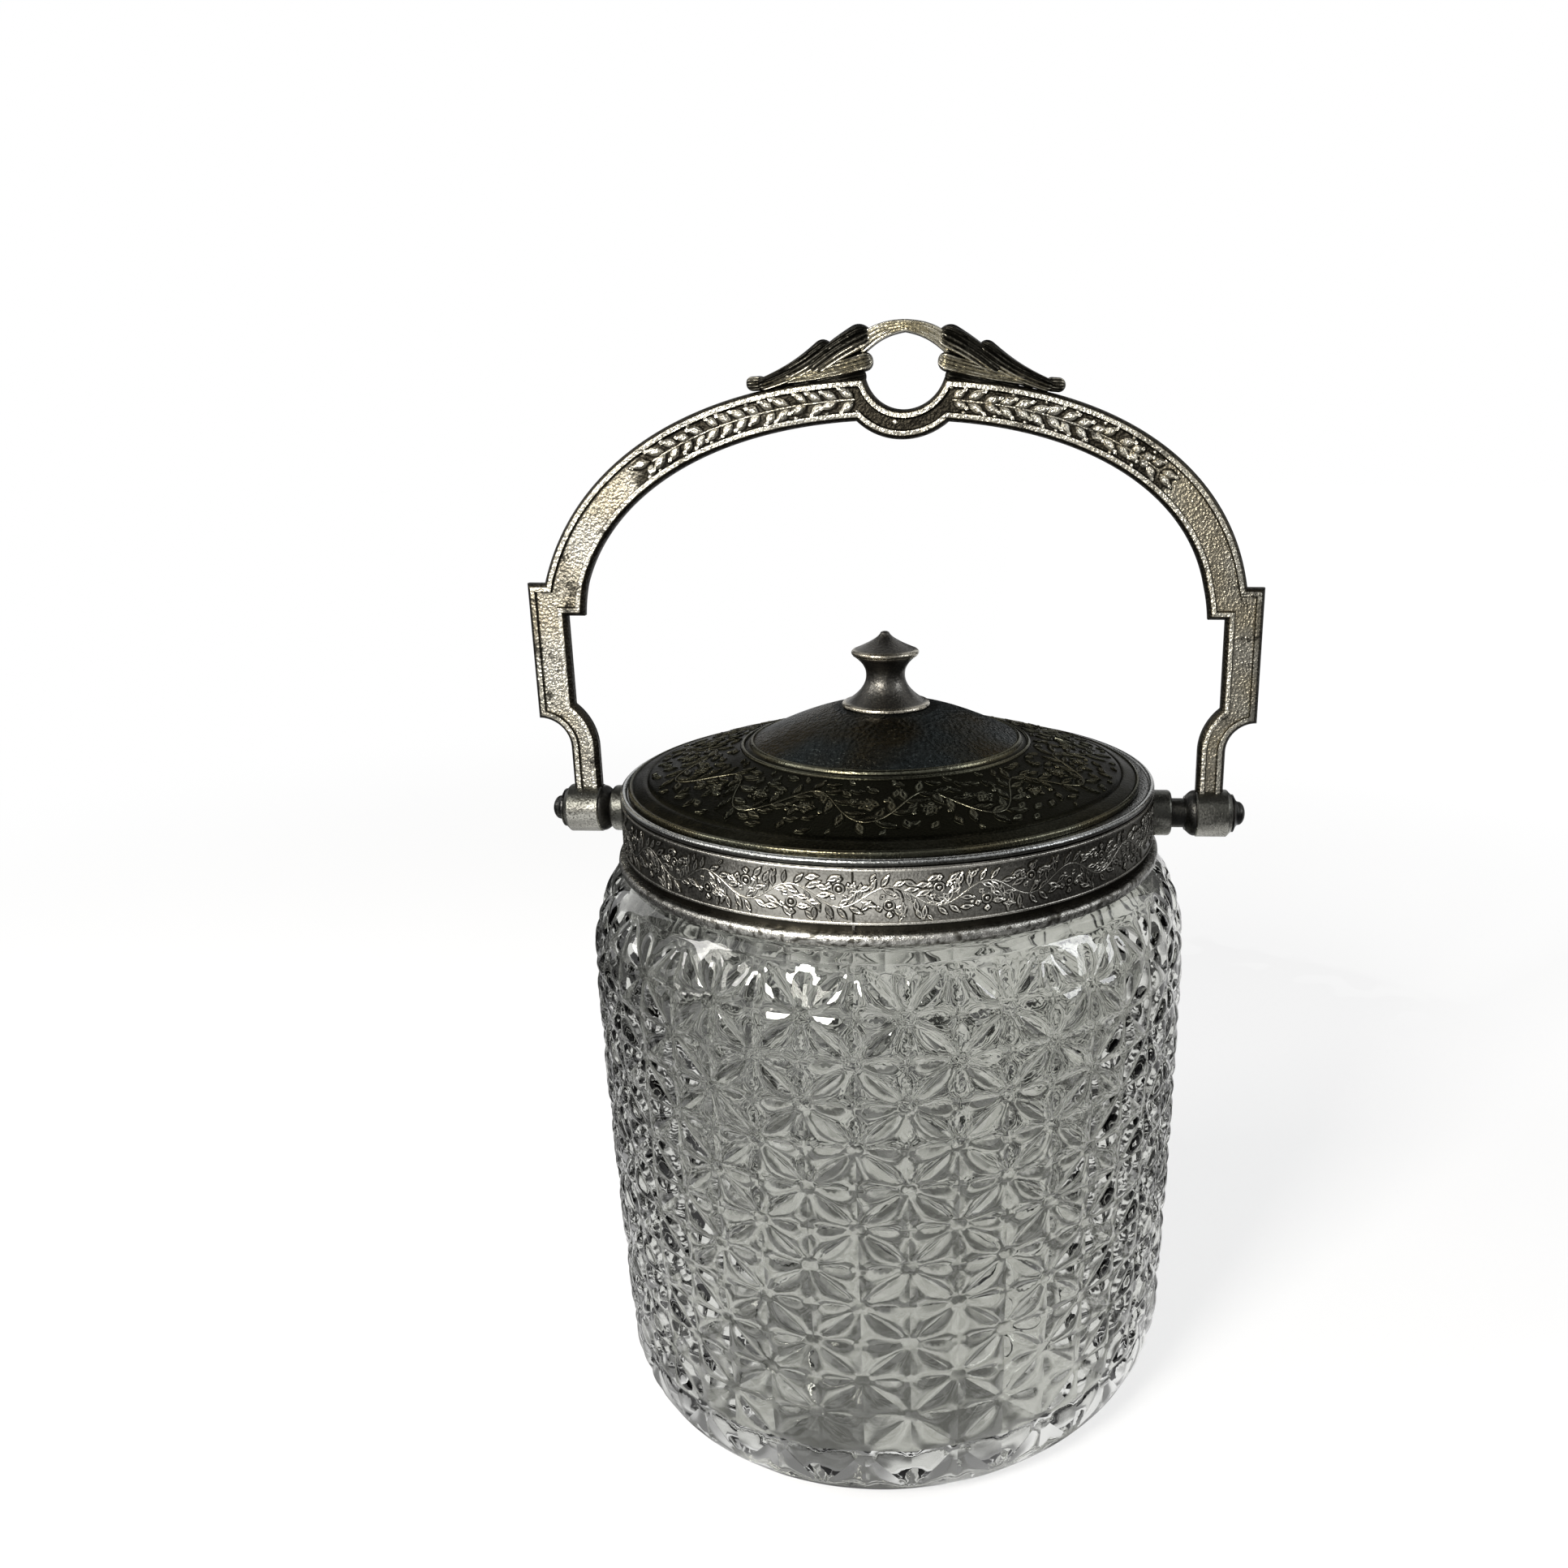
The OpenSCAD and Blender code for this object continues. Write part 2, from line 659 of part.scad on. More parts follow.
module bail_frame() {
    color(silver)
    difference() {
        upright(cast_t) frame_outline();
        for (s = [-1, 1])
            translate([0, s * (cast_t - channel_d), 0])
                upright(cast_t) difference() {
                    offset(delta = -rim_w) frame_outline();
                    square([4 * eye_out, 2 * eye_r + 3], center = true);
                }
        for (side = [-1, 1])
            on_pivot(side, handle_slid) translate([0, 0, eye_in - 2])
                cylinder(r = eye_r, h = eye_len + 4);
    }
}

// ---- Leaf crest: overlapping leaves that stand on the arch and close the ring ----

// Leaves of one side: root, tip, half-width, where the leaf is widest, and thickness
leaves = [
    [[-2.5, 8.6], [13.8, 4.4], 2.6, 1, 1],
    [[6.4, 4.6], [21, 2.2], 2.7, 0.9, 1.12],
    [[15, 0.8], [28, -2], 2.1, 0.9, 0.95],
    [[19, -2.6], [32.4, -3.3], 1.7, 2.2, 0.8],
    [[14.5, -5.5], [6.6, 3.4], 2.9, 1, 0.88],
    [[7.2, -0.4], [20, -2.4], 2.6, 1, 0.72]
];

// Outline of a leaf from its root to its tip and back
function leaf_side(l, side, n = 10) =
    let (
        along = l[1] - l[0],
        across = [-along[1], along[0]] / norm(along)
    )
    [for (i = [1:n - 1]) let (t = i / n)
        l[0] + along * t + across * side * l[2] * sin(180 * pow(t, l[3]))];

module leaf(l) {
    back = leaf_side(l, -1);
    translate([0, ring_h])
        polygon(concat([l[0]], leaf_side(l, 1), [l[1]], [for (i = [len(back) - 1:-1:0]) back[i]]));
}

module bail_crest() {
    color(dark_silver)
    for (l = leaves)
        upright(leaf_t * l[4]) difference() {
            translate([shift_x(ring_h), 0]) for (s = [0, 1]) mirror([s, 0]) leaf(l);
            finger_hole();
            polygon(bent(concat(
                [for (p = right_outside) if (p[1] >= bar_top_h) p],
                [for (p = to_left(right_outside)) if (p[1] >= bar_top_h) p]
            )));
        }
}

glass_jar();
plaster_bed();
collar_band();
collar_bead();
collar_rim();
lug(-1);  // lug_left
lug(1);  // lug_right
pivot_screw(-1);  // pivot_screw_left
pivot_screw(1);  // pivot_screw_right
pivot_bush(-1);  // pivot_bush_left
pivot_bush(1);  // pivot_bush_right
bail_eye(-1);  // bail_eye_left
bail_eye(1);  // bail_eye_right
bail_frame();
bail_crest();
lid_plate();
lid_flange();
finial();
finial_stud();
finial_washer();
finial_nut();
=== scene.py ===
"""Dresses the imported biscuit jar: pressed glass, plated collar, domed lid and cast handle.

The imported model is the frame. Each class below stands for one sub-assembly: it holds
its sizes in millimetres, builds its meshes in metres and gives them their finish.
"""

import logging
import math
from contextlib import contextmanager
from dataclasses import dataclass
from enum import Enum
from typing import Callable, Dict, Iterable, Iterator, List, Optional, Sequence, Tuple, Union

import bpy
from mathutils import Matrix, Vector, noise


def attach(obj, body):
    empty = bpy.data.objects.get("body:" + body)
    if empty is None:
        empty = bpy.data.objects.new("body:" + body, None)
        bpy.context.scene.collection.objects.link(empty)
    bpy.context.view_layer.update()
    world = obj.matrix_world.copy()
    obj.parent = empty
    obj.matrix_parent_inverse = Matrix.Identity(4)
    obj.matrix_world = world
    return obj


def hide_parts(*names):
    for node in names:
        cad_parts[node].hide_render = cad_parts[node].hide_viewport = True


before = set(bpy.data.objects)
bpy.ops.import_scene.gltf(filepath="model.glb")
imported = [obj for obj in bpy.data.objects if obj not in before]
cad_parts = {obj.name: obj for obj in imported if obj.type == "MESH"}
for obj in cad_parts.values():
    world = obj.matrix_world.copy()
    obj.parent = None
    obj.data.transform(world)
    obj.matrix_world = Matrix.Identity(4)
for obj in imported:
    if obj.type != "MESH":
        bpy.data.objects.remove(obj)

LOG = logging.getLogger("biscuit_jar")
MM = 0.001
PER_METRE = 1000.0
MERGE_M = 2e-7
SLIVER_M = 1e-7
FRONT_DEG = -90.0
SIDES = {-1: "left", 1: "right"}
WHITE = (1.0, 1.0, 1.0, 1.0)
POLISH_GAIN = 1.45
LAMP_AIM = (0.0, 0.0, 0.11)
Point2 = Tuple[float, float]
Triple = Tuple[float, float, float]
Colour = Triple
Piece = bpy.types.Object


# Shader expressions


def _operator(operation: str, reflected: bool = False) -> Callable[["Term", "Value"], "Term"]:
    """Makes an operator of Term that adds one Math node.

    Args:
        operation: the Math node's operation.
        reflected: whether the other value comes first.

    Returns:
        The method.
    """

    def method(self: "Term", other: "Value") -> "Term":
        """The operation on self and another value."""
        return self._math(operation, *((other, self) if reflected else (self, other)))

    return method


class Term:
    """A shader value: wraps a socket, so that sums and products add their Math nodes."""

    def __init__(self, graph: "Graph", socket: bpy.types.NodeSocket) -> None:
        """Keeps the socket and the graph that it belongs to."""
        self.graph = graph
        self.socket = socket

    def _math(self, operation: str, *values: "Value", clamp: bool = False) -> "Term":
        """Adds one Math node.

        Args:
            operation: the Math node's operation.
            values: its inputs, in order.
            clamp: whether the result is held to 0..1.

        Returns:
            The node's result.
        """
        settings = {"operation": operation, "use_clamp": clamp}
        return self.graph.term("ShaderNodeMath", 0, settings, dict(enumerate(values)))

    __add__, __radd__ = _operator("ADD"), _operator("ADD", reflected=True)
    __sub__, __rsub__ = _operator("SUBTRACT"), _operator("SUBTRACT", reflected=True)
    __mul__, __rmul__ = _operator("MULTIPLY"), _operator("MULTIPLY", reflected=True)
    __truediv__, __rtruediv__ = _operator("DIVIDE"), _operator("DIVIDE", reflected=True)
    __pow__ = _operator("POWER")
    at_least = _operator("MAXIMUM")

    def clamp(self) -> "Term":
        """Self, held to 0..1."""
        return self._math("ADD", self, 0.0, clamp=True)

    def size(self) -> "Term":
        """Self without its sign."""
        return self._math("ABSOLUTE", self)

    def between(self, low: float, high: float) -> "Term":
        """Smooth step of self.

        Args:
            low: where the step begins; it may lie above high, which turns the step over.
            high: where the step ends.

        Returns:
            0 at low and 1 at high.
        """
        return self.graph.term(
            "ShaderNodeMapRange",
            0,
            {"interpolation_type": "SMOOTHSTEP", "clamp": True},
            {"Value": self, "From Min": low, "From Max": high, "To Min": 0.0, "To Max": 1.0},
        )


Value = Union[Term, float]


class Graph:
    """The node tree of one material or world, with one maker for all its nodes."""

    def __init__(self, name: str, world: bool = False) -> None:
        """Starts an empty material, or world, of that name."""
        self.owner = (bpy.data.worlds if world else bpy.data.materials).new(name)
        self.owner.use_nodes = True
        self.tree = self.owner.node_tree
        self.tree.nodes.clear()
        self.output = self.node("ShaderNodeOutputWorld" if world else "ShaderNodeOutputMaterial")
        self._place: Optional[bpy.types.NodeSocket] = None

    def node(
        self, kind: str, settings: Optional[Dict] = None, inputs: Optional[Dict] = None
    ) -> bpy.types.Node:
        """Adds a node.

        Args:
            kind: the node's type.
            settings: its properties, set before its sockets.
            inputs: values or links of its sockets, by name or index.

        Returns:
            The new node.
        """
        made = self.tree.nodes.new(kind)
        for key, value in (settings or {}).items():
            setattr(made, key, value)
        for key, value in (inputs or {}).items():
            if isinstance(value, Term):
                value = value.socket
            if isinstance(value, bpy.types.NodeSocket):
                self.tree.links.new(value, made.inputs[key])
            else:
                made.inputs[key].default_value = value
        return made

    def term(
        self,
        kind: str,
        output: Union[str, int],
        settings: Optional[Dict] = None,
        inputs: Optional[Dict] = None,
    ) -> Term:
        """Adds a node, as node() does, and gives one of its outputs as a term."""
        return Term(self, self.node(kind, settings, inputs).outputs[output])

    @property
    def place(self) -> bpy.types.NodeSocket:
        """Object coordinates, in metres."""
        if self._place is None:
            self._place = self.node("ShaderNodeTexCoord").outputs["Object"]
        return self._place

    def axis(self, name: str) -> Term:
        """One object coordinate, in millimetres."""
        return self.term("ShaderNodeSeparateXYZ", name, inputs={0: self.place}) * PER_METRE

    def trait(self, name: str) -> Term:
        """A number stored on the mesh's points."""
        return self.term("ShaderNodeAttribute", "Fac", {"attribute_name": name})

    def grain(self, size_mm: float, detail: float, roughness: float) -> Term:
        """Cloudy noise.

        Args:
            size_mm: size of its blotches.
            detail: octaves.
            roughness: share of the fine octaves.

        Returns:
            The noise, around 0.5.
        """
        scale = PER_METRE / size_mm
        return self.term(
            "ShaderNodeTexNoise",
            "Fac",
            inputs={"Vector": self.place, "Scale": scale, "Detail": detail, "Roughness": roughness},
        )

    def pebbles(self, size_mm: float) -> Term:
        """Cell noise: distance to the nearest of many scattered points."""
        inputs = {"Vector": self.place, "Scale": PER_METRE / size_mm}
        return self.term("ShaderNodeTexVoronoi", "Distance", inputs=inputs)

    def blend(self, factor: Value, first: Union[Term, Colour], second: Union[Term, Colour]) -> Term:
        """A colour between two, by a factor."""
        one, other = (side if isinstance(side, Term) else (*side, 1.0) for side in (first, second))
        return self.term("ShaderNodeMix", 2, {"data_type": "RGBA"}, {0: factor, 6: one, 7: other})

    def bump(self, height: Term, depth_mm: float) -> Term:
        """Normals of a height field that is depth_mm deep."""
        inputs = {"Strength": 1.0, "Distance": depth_mm * MM, "Height": height}
        return self.term("ShaderNodeBump", "Normal", inputs=inputs)

    def mixed(self, factor: Value, first: bpy.types.Node, second: bpy.types.Node) -> bpy.types.Node:
        """A shader between two, by a factor."""
        inputs = {0: factor, 1: first.outputs[0], 2: second.outputs[0]}
        return self.node("ShaderNodeMixShader", inputs=inputs)

    def close(self, shader: bpy.types.Node) -> bpy.types.ID:
        """Ends the tree with its last shader, and gives the material or world."""
        self.tree.links.new(shader.outputs[0], self.output.inputs["Surface"])
        return self.owner

    def finish(self, **sockets: object) -> bpy.types.Material:
        """Ends the material with a Principled shader.

        Args:
            sockets: the shader's sockets, with _ for each space in a name.

        Returns:
            The material.
        """
        values = {key.replace("_", " "): value for key, value in sockets.items()}
        return self.close(self.node("ShaderNodeBsdfPrincipled", inputs=values))


# Finishes


@dataclass(frozen=True)
class PressedGlassFinish:
    """Clear glass from an old mould: fire-polished, with soft ripples; its grey colour is painted shade."""

    # Painted shade: this grey colour darkens what shows through the clear glass.
    tint: Colour = (0.685, 0.69, 0.655)
    roughness: float = 0.02
    index: float = 1.5
    ripple_size_mm: float = 6.5
    ripple_mm: float = 0.055

    def material(self) -> bpy.types.Material:
        """Builds the material."""
        graph = Graph("pressed_glass")
        return graph.finish(
            Base_Color=(*self.tint, 1.0),
            Roughness=self.roughness,
            IOR=self.index,
            Transmission_Weight=1.0,
            Normal=graph.bump(graph.grain(self.ripple_size_mm, 2.0, 0.45), self.ripple_mm),
        )


class Wear(Enum):
    """How a plated part has worn: its specks' share, where tarnish begins, where it is full."""

    CAST = (0.5, 0.56, 0.66)
    EMBOSSED = (0.6, 0.50, 0.72)
    RUBBED = (0.7, 0.58, 0.74)
    TARNISHED = (0.4, 0.40, 0.70)


@dataclass(frozen=True)
class PlatedFinish:
    """Old silver plate: bright where it is rubbed, olive to black in its recesses.

    Attributes:
        name: the material's name.
        wear: how it has worn.
        bright: colour of what stands up.
        dull: colour of what lies low.
        black: colour of tarnish and pits.
        roughness: roughness of what stands up.
        grain_mm: size of the specks.
        grain_depth_mm: depth of the worn grain.
        soiling: how much the tarnish covers.
        bloom: colour of the warm patches on what stands up, where they differ.
        polish: how much the crests are rubbed bright.
        painted_side_shade: how much painted shade darkens the sides of the jar, away from its front.
        painted_side_shade_y: where that painted shade begins and where it is full, along Y in millimetres.
        edge: brightness of grazing reflections.
    """

    name: str
    wear: Wear
    bright: Colour
    dull: Colour
    black: Colour = (0.010, 0.009, 0.007)
    roughness: float = 0.30
    grain_mm: float = 0.45
    grain_depth_mm: float = 0.05
    soiling: float = 0.5
    bloom: Optional[Colour] = None
    polish: float = 0.6
    painted_side_shade: float = 0.0
    painted_side_shade_y: Point2 = (-56.0, -47.0)
    edge: float = 1.0

    def _tarnish(self, graph: Graph, clouds: Term, specks: Term) -> Term:
        """Where tarnish lies, from 0 to 1.

        Args:
            graph: the material's nodes.
            clouds: broad noise.
            specks: fine noise.

        Returns:
            The mask.
        """
        share, begins, full = self.wear.value
        broad = graph.grain(5.0, 5.0, 0.7) if self.wear is Wear.CAST else clouds
        return (broad + (specks - 0.5) * share).between(begins, full)

    def material(self) -> bpy.types.Material:
        """Builds the material.

        Returns:
            Metal whose colour follows the relief stored on the mesh, broken up by
            tarnish clouds, specks and worn grain, and darkened at the jar's sides as painted shade.
        """
        graph = Graph(self.name)
        relief = graph.trait("relief")
        clouds = graph.grain(11.0, 4.0, 0.6)
        specks = graph.grain(self.grain_mm, 3.0, 0.65)
        high = (relief + (specks - 0.5) * 0.7 + (clouds - 0.5) * 0.5).between(0.18, 0.82)
        stain = self._tarnish(graph, clouds, specks)
        pits = graph.pebbles(self.grain_mm * 2.4).between(0.16, 0.05)
        warm = graph.grain(24.0, 2.0, 0.5).between(0.42, 0.60)
        patchy = graph.blend(warm, self.bright, self.bloom or self.bright)
        colour = graph.blend(high, self.dull, patchy)
        polished = tuple(min(1.0, POLISH_GAIN * part) for part in self.bright)
        rubbed = relief.between(0.80, 1.0) * specks.between(0.34, 0.52)
        colour = graph.blend(rubbed * self.polish, colour, polished)
        dirt_and_side_shade = stain * self.soiling
        # Painted shade: the jar's sides, away from its front along Y, are darkened towards black.
        if self.painted_side_shade:
            side = graph.axis("Y").between(*self.painted_side_shade_y)
            dirt_and_side_shade = dirt_and_side_shade.at_least(side * (1.0 - specks * 0.35) * self.painted_side_shade)
        colour = graph.blend(dirt_and_side_shade, colour, self.black)
        colour = graph.blend(pits * self.soiling, colour, self.black)
        rough = self.roughness + (1.0 - high) * 0.12 + stain * 0.14
        height = specks + graph.pebbles(self.grain_mm * 1.3) * 0.8 - pits * 0.6
        return graph.finish(
            Base_Color=colour,
            Metallic=1.0,
            Roughness=rough.clamp(),
            Specular_Tint=(self.edge, self.edge, self.edge, 1.0),
            Normal=graph.bump(height, self.grain_depth_mm),
        )


@dataclass(frozen=True)
class PlainFinish:
    """One plain workshop finish for parts that hardly show."""

    name: str
    colour: Colour
    metallic: float
    roughness: float
    grain_mm: float = 0.8

    def material(self) -> bpy.types.Material:
        """Builds the material."""
        graph = Graph(self.name)
        cloud = graph.grain(self.grain_mm, 3.0, 0.6)
        dark = tuple(0.55 * part for part in self.colour)
        return graph.finish(
            Base_Color=graph.blend(cloud.between(0.35, 0.7), dark, self.colour),
            Metallic=self.metallic,
            Roughness=(self.roughness + (cloud - 0.5) * 0.2).clamp(),
            Normal=graph.bump(cloud, 0.03),
        )


CAST = PlatedFinish(
    "cast_plate", Wear.CAST, (0.44, 0.42, 0.36), (0.026, 0.023, 0.017), soiling=0.88,
    grain_depth_mm=0.17, bloom=(0.37, 0.33, 0.245), polish=0.9, roughness=0.26,
)
CREST = PlatedFinish(
    "crest_plate", Wear.RUBBED, (0.50, 0.47, 0.38), (0.016, 0.015, 0.012), soiling=0.7,
    grain_depth_mm=0.06, roughness=0.26, grain_mm=0.6,
)
# The band, bead and rim take painted shade on the jar's sides through painted_side_shade.
EMBOSSED = PlatedFinish(
    "embossed_plate", Wear.EMBOSSED, (0.66, 0.64, 0.58), (0.036, 0.033, 0.026), soiling=0.5,
    roughness=0.26, painted_side_shade=0.94, edge=0.5,
)
LID = PlatedFinish(
    "lid_metal", Wear.TARNISHED, (0.100, 0.100, 0.074), (0.011, 0.0108, 0.007),
    roughness=0.20, soiling=0.4, polish=1.0, bloom=(0.106, 0.095, 0.060), edge=0.52,
)
DOME = PlatedFinish(
    "dome_metal", Wear.TARNISHED, (0.054, 0.066, 0.068), (0.013, 0.0155, 0.015),
    roughness=0.18, soiling=0.4, bloom=(0.060, 0.046, 0.022), grain_mm=0.8,
    grain_depth_mm=0.34, edge=0.55,
)
# Painted shade on the jar's sides, as on the band.
BEAD = PlatedFinish(
    "bead_metal", Wear.EMBOSSED, (0.62, 0.61, 0.57), (0.10, 0.095, 0.08), soiling=0.7,
    grain_mm=0.26, grain_depth_mm=0.07, painted_side_shade=0.75, roughness=0.24,
)
BARREL = PlatedFinish(
    "barrel_metal", Wear.RUBBED, (0.50, 0.49, 0.44), (0.07, 0.07, 0.062), roughness=0.24,
    soiling=0.9,
)
# Painted shade on the jar's sides, as on the band.
RIM = PlatedFinish(
    "rim_metal", Wear.RUBBED, (0.46, 0.47, 0.46), (0.06, 0.06, 0.055), roughness=0.22,
    soiling=0.9, painted_side_shade=0.6,
)
KNOB = PlatedFinish(
    "knob_metal", Wear.TARNISHED, (0.16, 0.155, 0.135), (0.028, 0.028, 0.027), roughness=0.22,
    soiling=0.6,
)
PLASTER = PlainFinish("plaster", (0.80, 0.77, 0.69), 0.0, 0.9)
TURNED = PlatedFinish(
    "turned_metal", Wear.TARNISHED, (0.46, 0.43, 0.36), (0.075, 0.072, 0.066), roughness=0.20,
    soiling=0.5, bloom=(0.34, 0.29, 0.19),
)
BRASS = PlainFinish("brass_hardware", (0.62, 0.48, 0.25), 1.0, 0.35)


# Modelling with operators


def unit(value: float) -> float:
    """A number held to 0..1."""
    return max(0.0, min(1.0, value))


def arc(centre: Point2, radii: Point2, degrees: Iterable[float]) -> List[Point2]:
    """Points on an ellipse, for a section.

    Args:
        centre: its middle.
        radii: its two half-axes.
        degrees: the angle of each point.

    Returns:
        The points.
    """
    return [
        (centre[0] + radii[0] * math.cos(a), centre[1] + radii[1] * math.sin(a))
        for a in map(math.radians, degrees)
    ]


def select_only(*pieces: Piece) -> None:
    """Leaves edit mode and selects these pieces, the first of them active, and no others."""
    if bpy.context.object is not None and bpy.context.object.mode != "OBJECT":
        bpy.ops.object.mode_set(mode="OBJECT")
    bpy.ops.object.select_all(action="DESELECT")
    for piece in pieces:
        piece.select_set(True)
    if pieces:
        bpy.context.view_layer.objects.active = pieces[0]


@contextmanager
def editing(piece: Piece, mode: str = "VERT") -> Iterator[None]:
    """Edit mode on one piece, with everything in it selected.

    Args:
        piece: the object to edit.
        mode: VERT, EDGE or FACE selection.
    """
    select_only(piece)
    bpy.ops.object.mode_set(mode="EDIT")
    bpy.ops.mesh.select_mode(type=mode)
    bpy.ops.mesh.select_all(action="SELECT")
    yield
    bpy.ops.object.mode_set(mode="OBJECT")


def pick_faces(piece: Piece, test: Callable[[bpy.types.MeshPolygon], bool]) -> None:
    """Selects the faces that pass a test, and nothing else, from inside edit mode."""
    bpy.ops.mesh.select_mode(type="FACE")
    bpy.ops.mesh.select_all(action="DESELECT")
    bpy.ops.object.mode_set(mode="OBJECT")
    for face in piece.data.polygons:
        face.select = test(face)
    bpy.ops.object.mode_set(mode="EDIT")


def clean(piece: Piece, turn: bool = True) -> None:
    """Merges doubles, drops slivers and turns all faces outwards.

    Args:
        piece: a closed mesh.
        turn: whether faces are turned; off where they already point outwards.
    """
    with editing(piece):
        bpy.ops.mesh.remove_doubles(threshold=MERGE_M)
        bpy.ops.mesh.dissolve_degenerate(threshold=SLIVER_M)
        if turn:
            bpy.ops.mesh.select_all(action="SELECT")
            bpy.ops.mesh.normals_make_consistent(inside=False)


def smooth(piece: Piece, degrees: float) -> Piece:
    """Shades a piece smooth, but for edges sharper than an angle."""
    select_only(piece)
    bpy.ops.object.shade_smooth_by_angle(angle=math.radians(degrees))
    return piece


def primitive(kind: str, name: str, **settings: object) -> Piece:
    """Adds one of Blender's primitive meshes at the origin.

    Args:
        kind: which one, as its operator calls it.
        name: name of the piece and its mesh.
        settings: the operator's settings.

    Returns:
        The piece.
    """
    select_only()
    getattr(bpy.ops.mesh, f"primitive_{kind}_add")(**settings)
    piece = bpy.context.object
    piece.name = name
    piece.data.name = name
    return piece


def linked(name: str, data: bpy.types.ID) -> Piece:
    """An object in the scene that holds a curve, a lamp or a camera."""
    made = bpy.data.objects.new(name, data)
    bpy.context.scene.collection.objects.link(made)
    return made


def section_ring(name: str, points: Sequence[Vector]) -> Piece:
    """A closed loop of edges through the given points, from a circle primitive."""
    piece = primitive("circle", name, vertices=len(points), radius=0.01, fill_type="NOTHING")
    for vertex, point in zip(piece.data.vertices, points):
        vertex.co = point
    return piece


def turned(
    name: str, section: Sequence[Point2], steps: int, start_deg: float = FRONT_DEG
) -> Piece:
    """A closed section spun about Z.

    Args:
        name: the piece's name.
        section: (radius, height) points in millimetres, all round the section.
        steps: faces around.
        start_deg: angle at which the spin starts.

    Returns:
        The closed solid.
    """
    c, s = math.cos(math.radians(start_deg)), math.sin(math.radians(start_deg))
    piece = section_ring(name, [Vector((r * c, r * s, z)) * MM for r, z in section])
    with editing(piece):
        bpy.ops.mesh.spin(steps=steps, angle=math.tau, center=(0, 0, 0), axis=(0, 0, 1))
    clean(piece)
    return piece


def lofted(name: str, sections: Sequence[Sequence[Vector]]) -> Piece:
    """A solid through a row of closed sections, capped at both ends.

    Args:
        name: the piece's name.
        sections: closed sections with equal numbers of points, in metres.

    Returns:
        The closed solid.
    """
    rows, count = len(sections), len(sections[0])
    piece = primitive("grid", name, x_subdivisions=count, y_subdivisions=rows - 1, size=1.0)
    for index, vertex in enumerate(piece.data.vertices):
        row, place = divmod(index, count + 1)
        vertex.co = sections[row][place % count]
    with editing(piece):
        bpy.ops.mesh.remove_doubles(threshold=MERGE_M)
        bpy.ops.mesh.select_all(action="DESELECT")
        bpy.ops.mesh.select_non_manifold()
        bpy.ops.mesh.edge_face_add()
    clean(piece)
    return piece


def move_points(piece: Piece, shift: Callable[[Vector], Vector]) -> None:
    """Moves every point of a piece to where a function says."""
    for vertex in piece.data.vertices:
        vertex.co = shift(vertex.co)
    piece.data.update()


def store_relief(piece: Piece, height: Callable[[Vector], float]) -> None:
    """Stores a value for each point, from 0 to 1, for the finish to read: mostly how high it stands, on some
    pieces painted light and shade.
    """
    trait = piece.data.attributes.get("relief") or piece.data.attributes.new(
        "relief", "FLOAT", "POINT"
    )
    for vertex, value in zip(piece.data.vertices, trait.data):
        value.value = height(vertex.co)


def inset_line(line: Sequence[Vector], distance: float) -> List[Vector]:
    """A line moved sideways by a distance, with mitred corners.

    Args:
        line: points in a plane, in millimetres.
        distance: how far it moves to its left.

    Returns:
        As many points as the line has; those that a corner's mitre passes lie on it.
    """
    moved = []
    for index, spot in enumerate(line):
        before = line[max(0, index - 1)]
        after = line[min(len(line) - 1, index + 1)]
        ways = [way.normalized() for way in (spot - before, after - spot) if way.length > 1e-9]
        sides = [Vector((-way.y, way.x)) for way in ways]
        middle = sum(sides, Vector((0.0, 0.0))).normalized()
        share = max(0.5, middle.dot(sides[0]))
        moved.append(spot + middle * (distance / share))
    for corner in range(1, len(line) - 1):
        before = (line[corner] - line[corner - 1]).normalized()
        after = (line[corner + 1] - line[corner]).normalized()
        if before.dot(after) > 0.8:
            continue
        for step, way in ((1, after), (-1, -before)):
            place = corner + step
            while 0 <= place < len(line) and (moved[place] - moved[corner]).dot(way) < 0:
                moved[place] = moved[corner].copy()
                place += step
    return moved


def joined(name: str, pieces: Sequence[Piece]) -> Piece:
    """Joins several pieces to one of that name."""
    select_only(*pieces)
    bpy.ops.object.join()
    whole = bpy.context.view_layer.objects.active
    whole.name = name
    whole.data.name = name
    return whole


def laid(
    motif: Piece, at: Vector, along: Vector, normal: Vector, scale: Triple
) -> Piece:
    """Lays a copy of a motif, with its own mesh, on a surface.

    Args:
        motif: the pattern; its X runs along, its Z stands up.
        at: where its origin comes, in metres.
        along: direction of its X axis.
        normal: the surface's outward normal.
        scale: its size along each of its axes.

    Returns:
        The copy.
    """
    up = normal.normalized()
    side = up.cross(along).normalized()
    turn = Matrix((side.cross(up), side, up)).transposed().to_4x4()
    twin = linked(motif.name, motif.data.copy())
    twin.data.transform(Matrix.Translation(at) @ turn @ Matrix.Diagonal((*scale, 1.0)))
    return twin


def wire(name: str, course: Sequence[Vector], radius_mm: float) -> Piece:
    """A thin round wire along a course, as a closed mesh.

    Args:
        name: the piece's name.
        course: points in metres.
        radius_mm: its radius.

    Returns:
        The mesh.
    """
    curve = bpy.data.curves.new(name, "CURVE")
    curve.dimensions = "3D"
    curve.bevel_depth = radius_mm * MM
    curve.bevel_resolution = 1
    curve.use_fill_caps = True
    spline = curve.splines.new("POLY")
    spline.points.add(len(course) - 1)
    for point, place in zip(spline.points, course):
        point.co = (*place, 1.0)
    select_only(linked(name, curve))
    bpy.ops.object.convert(target="MESH")
    piece = bpy.context.view_layer.objects.active
    store_relief(piece, lambda co: 0.85)
    return smooth(piece, 70.0)


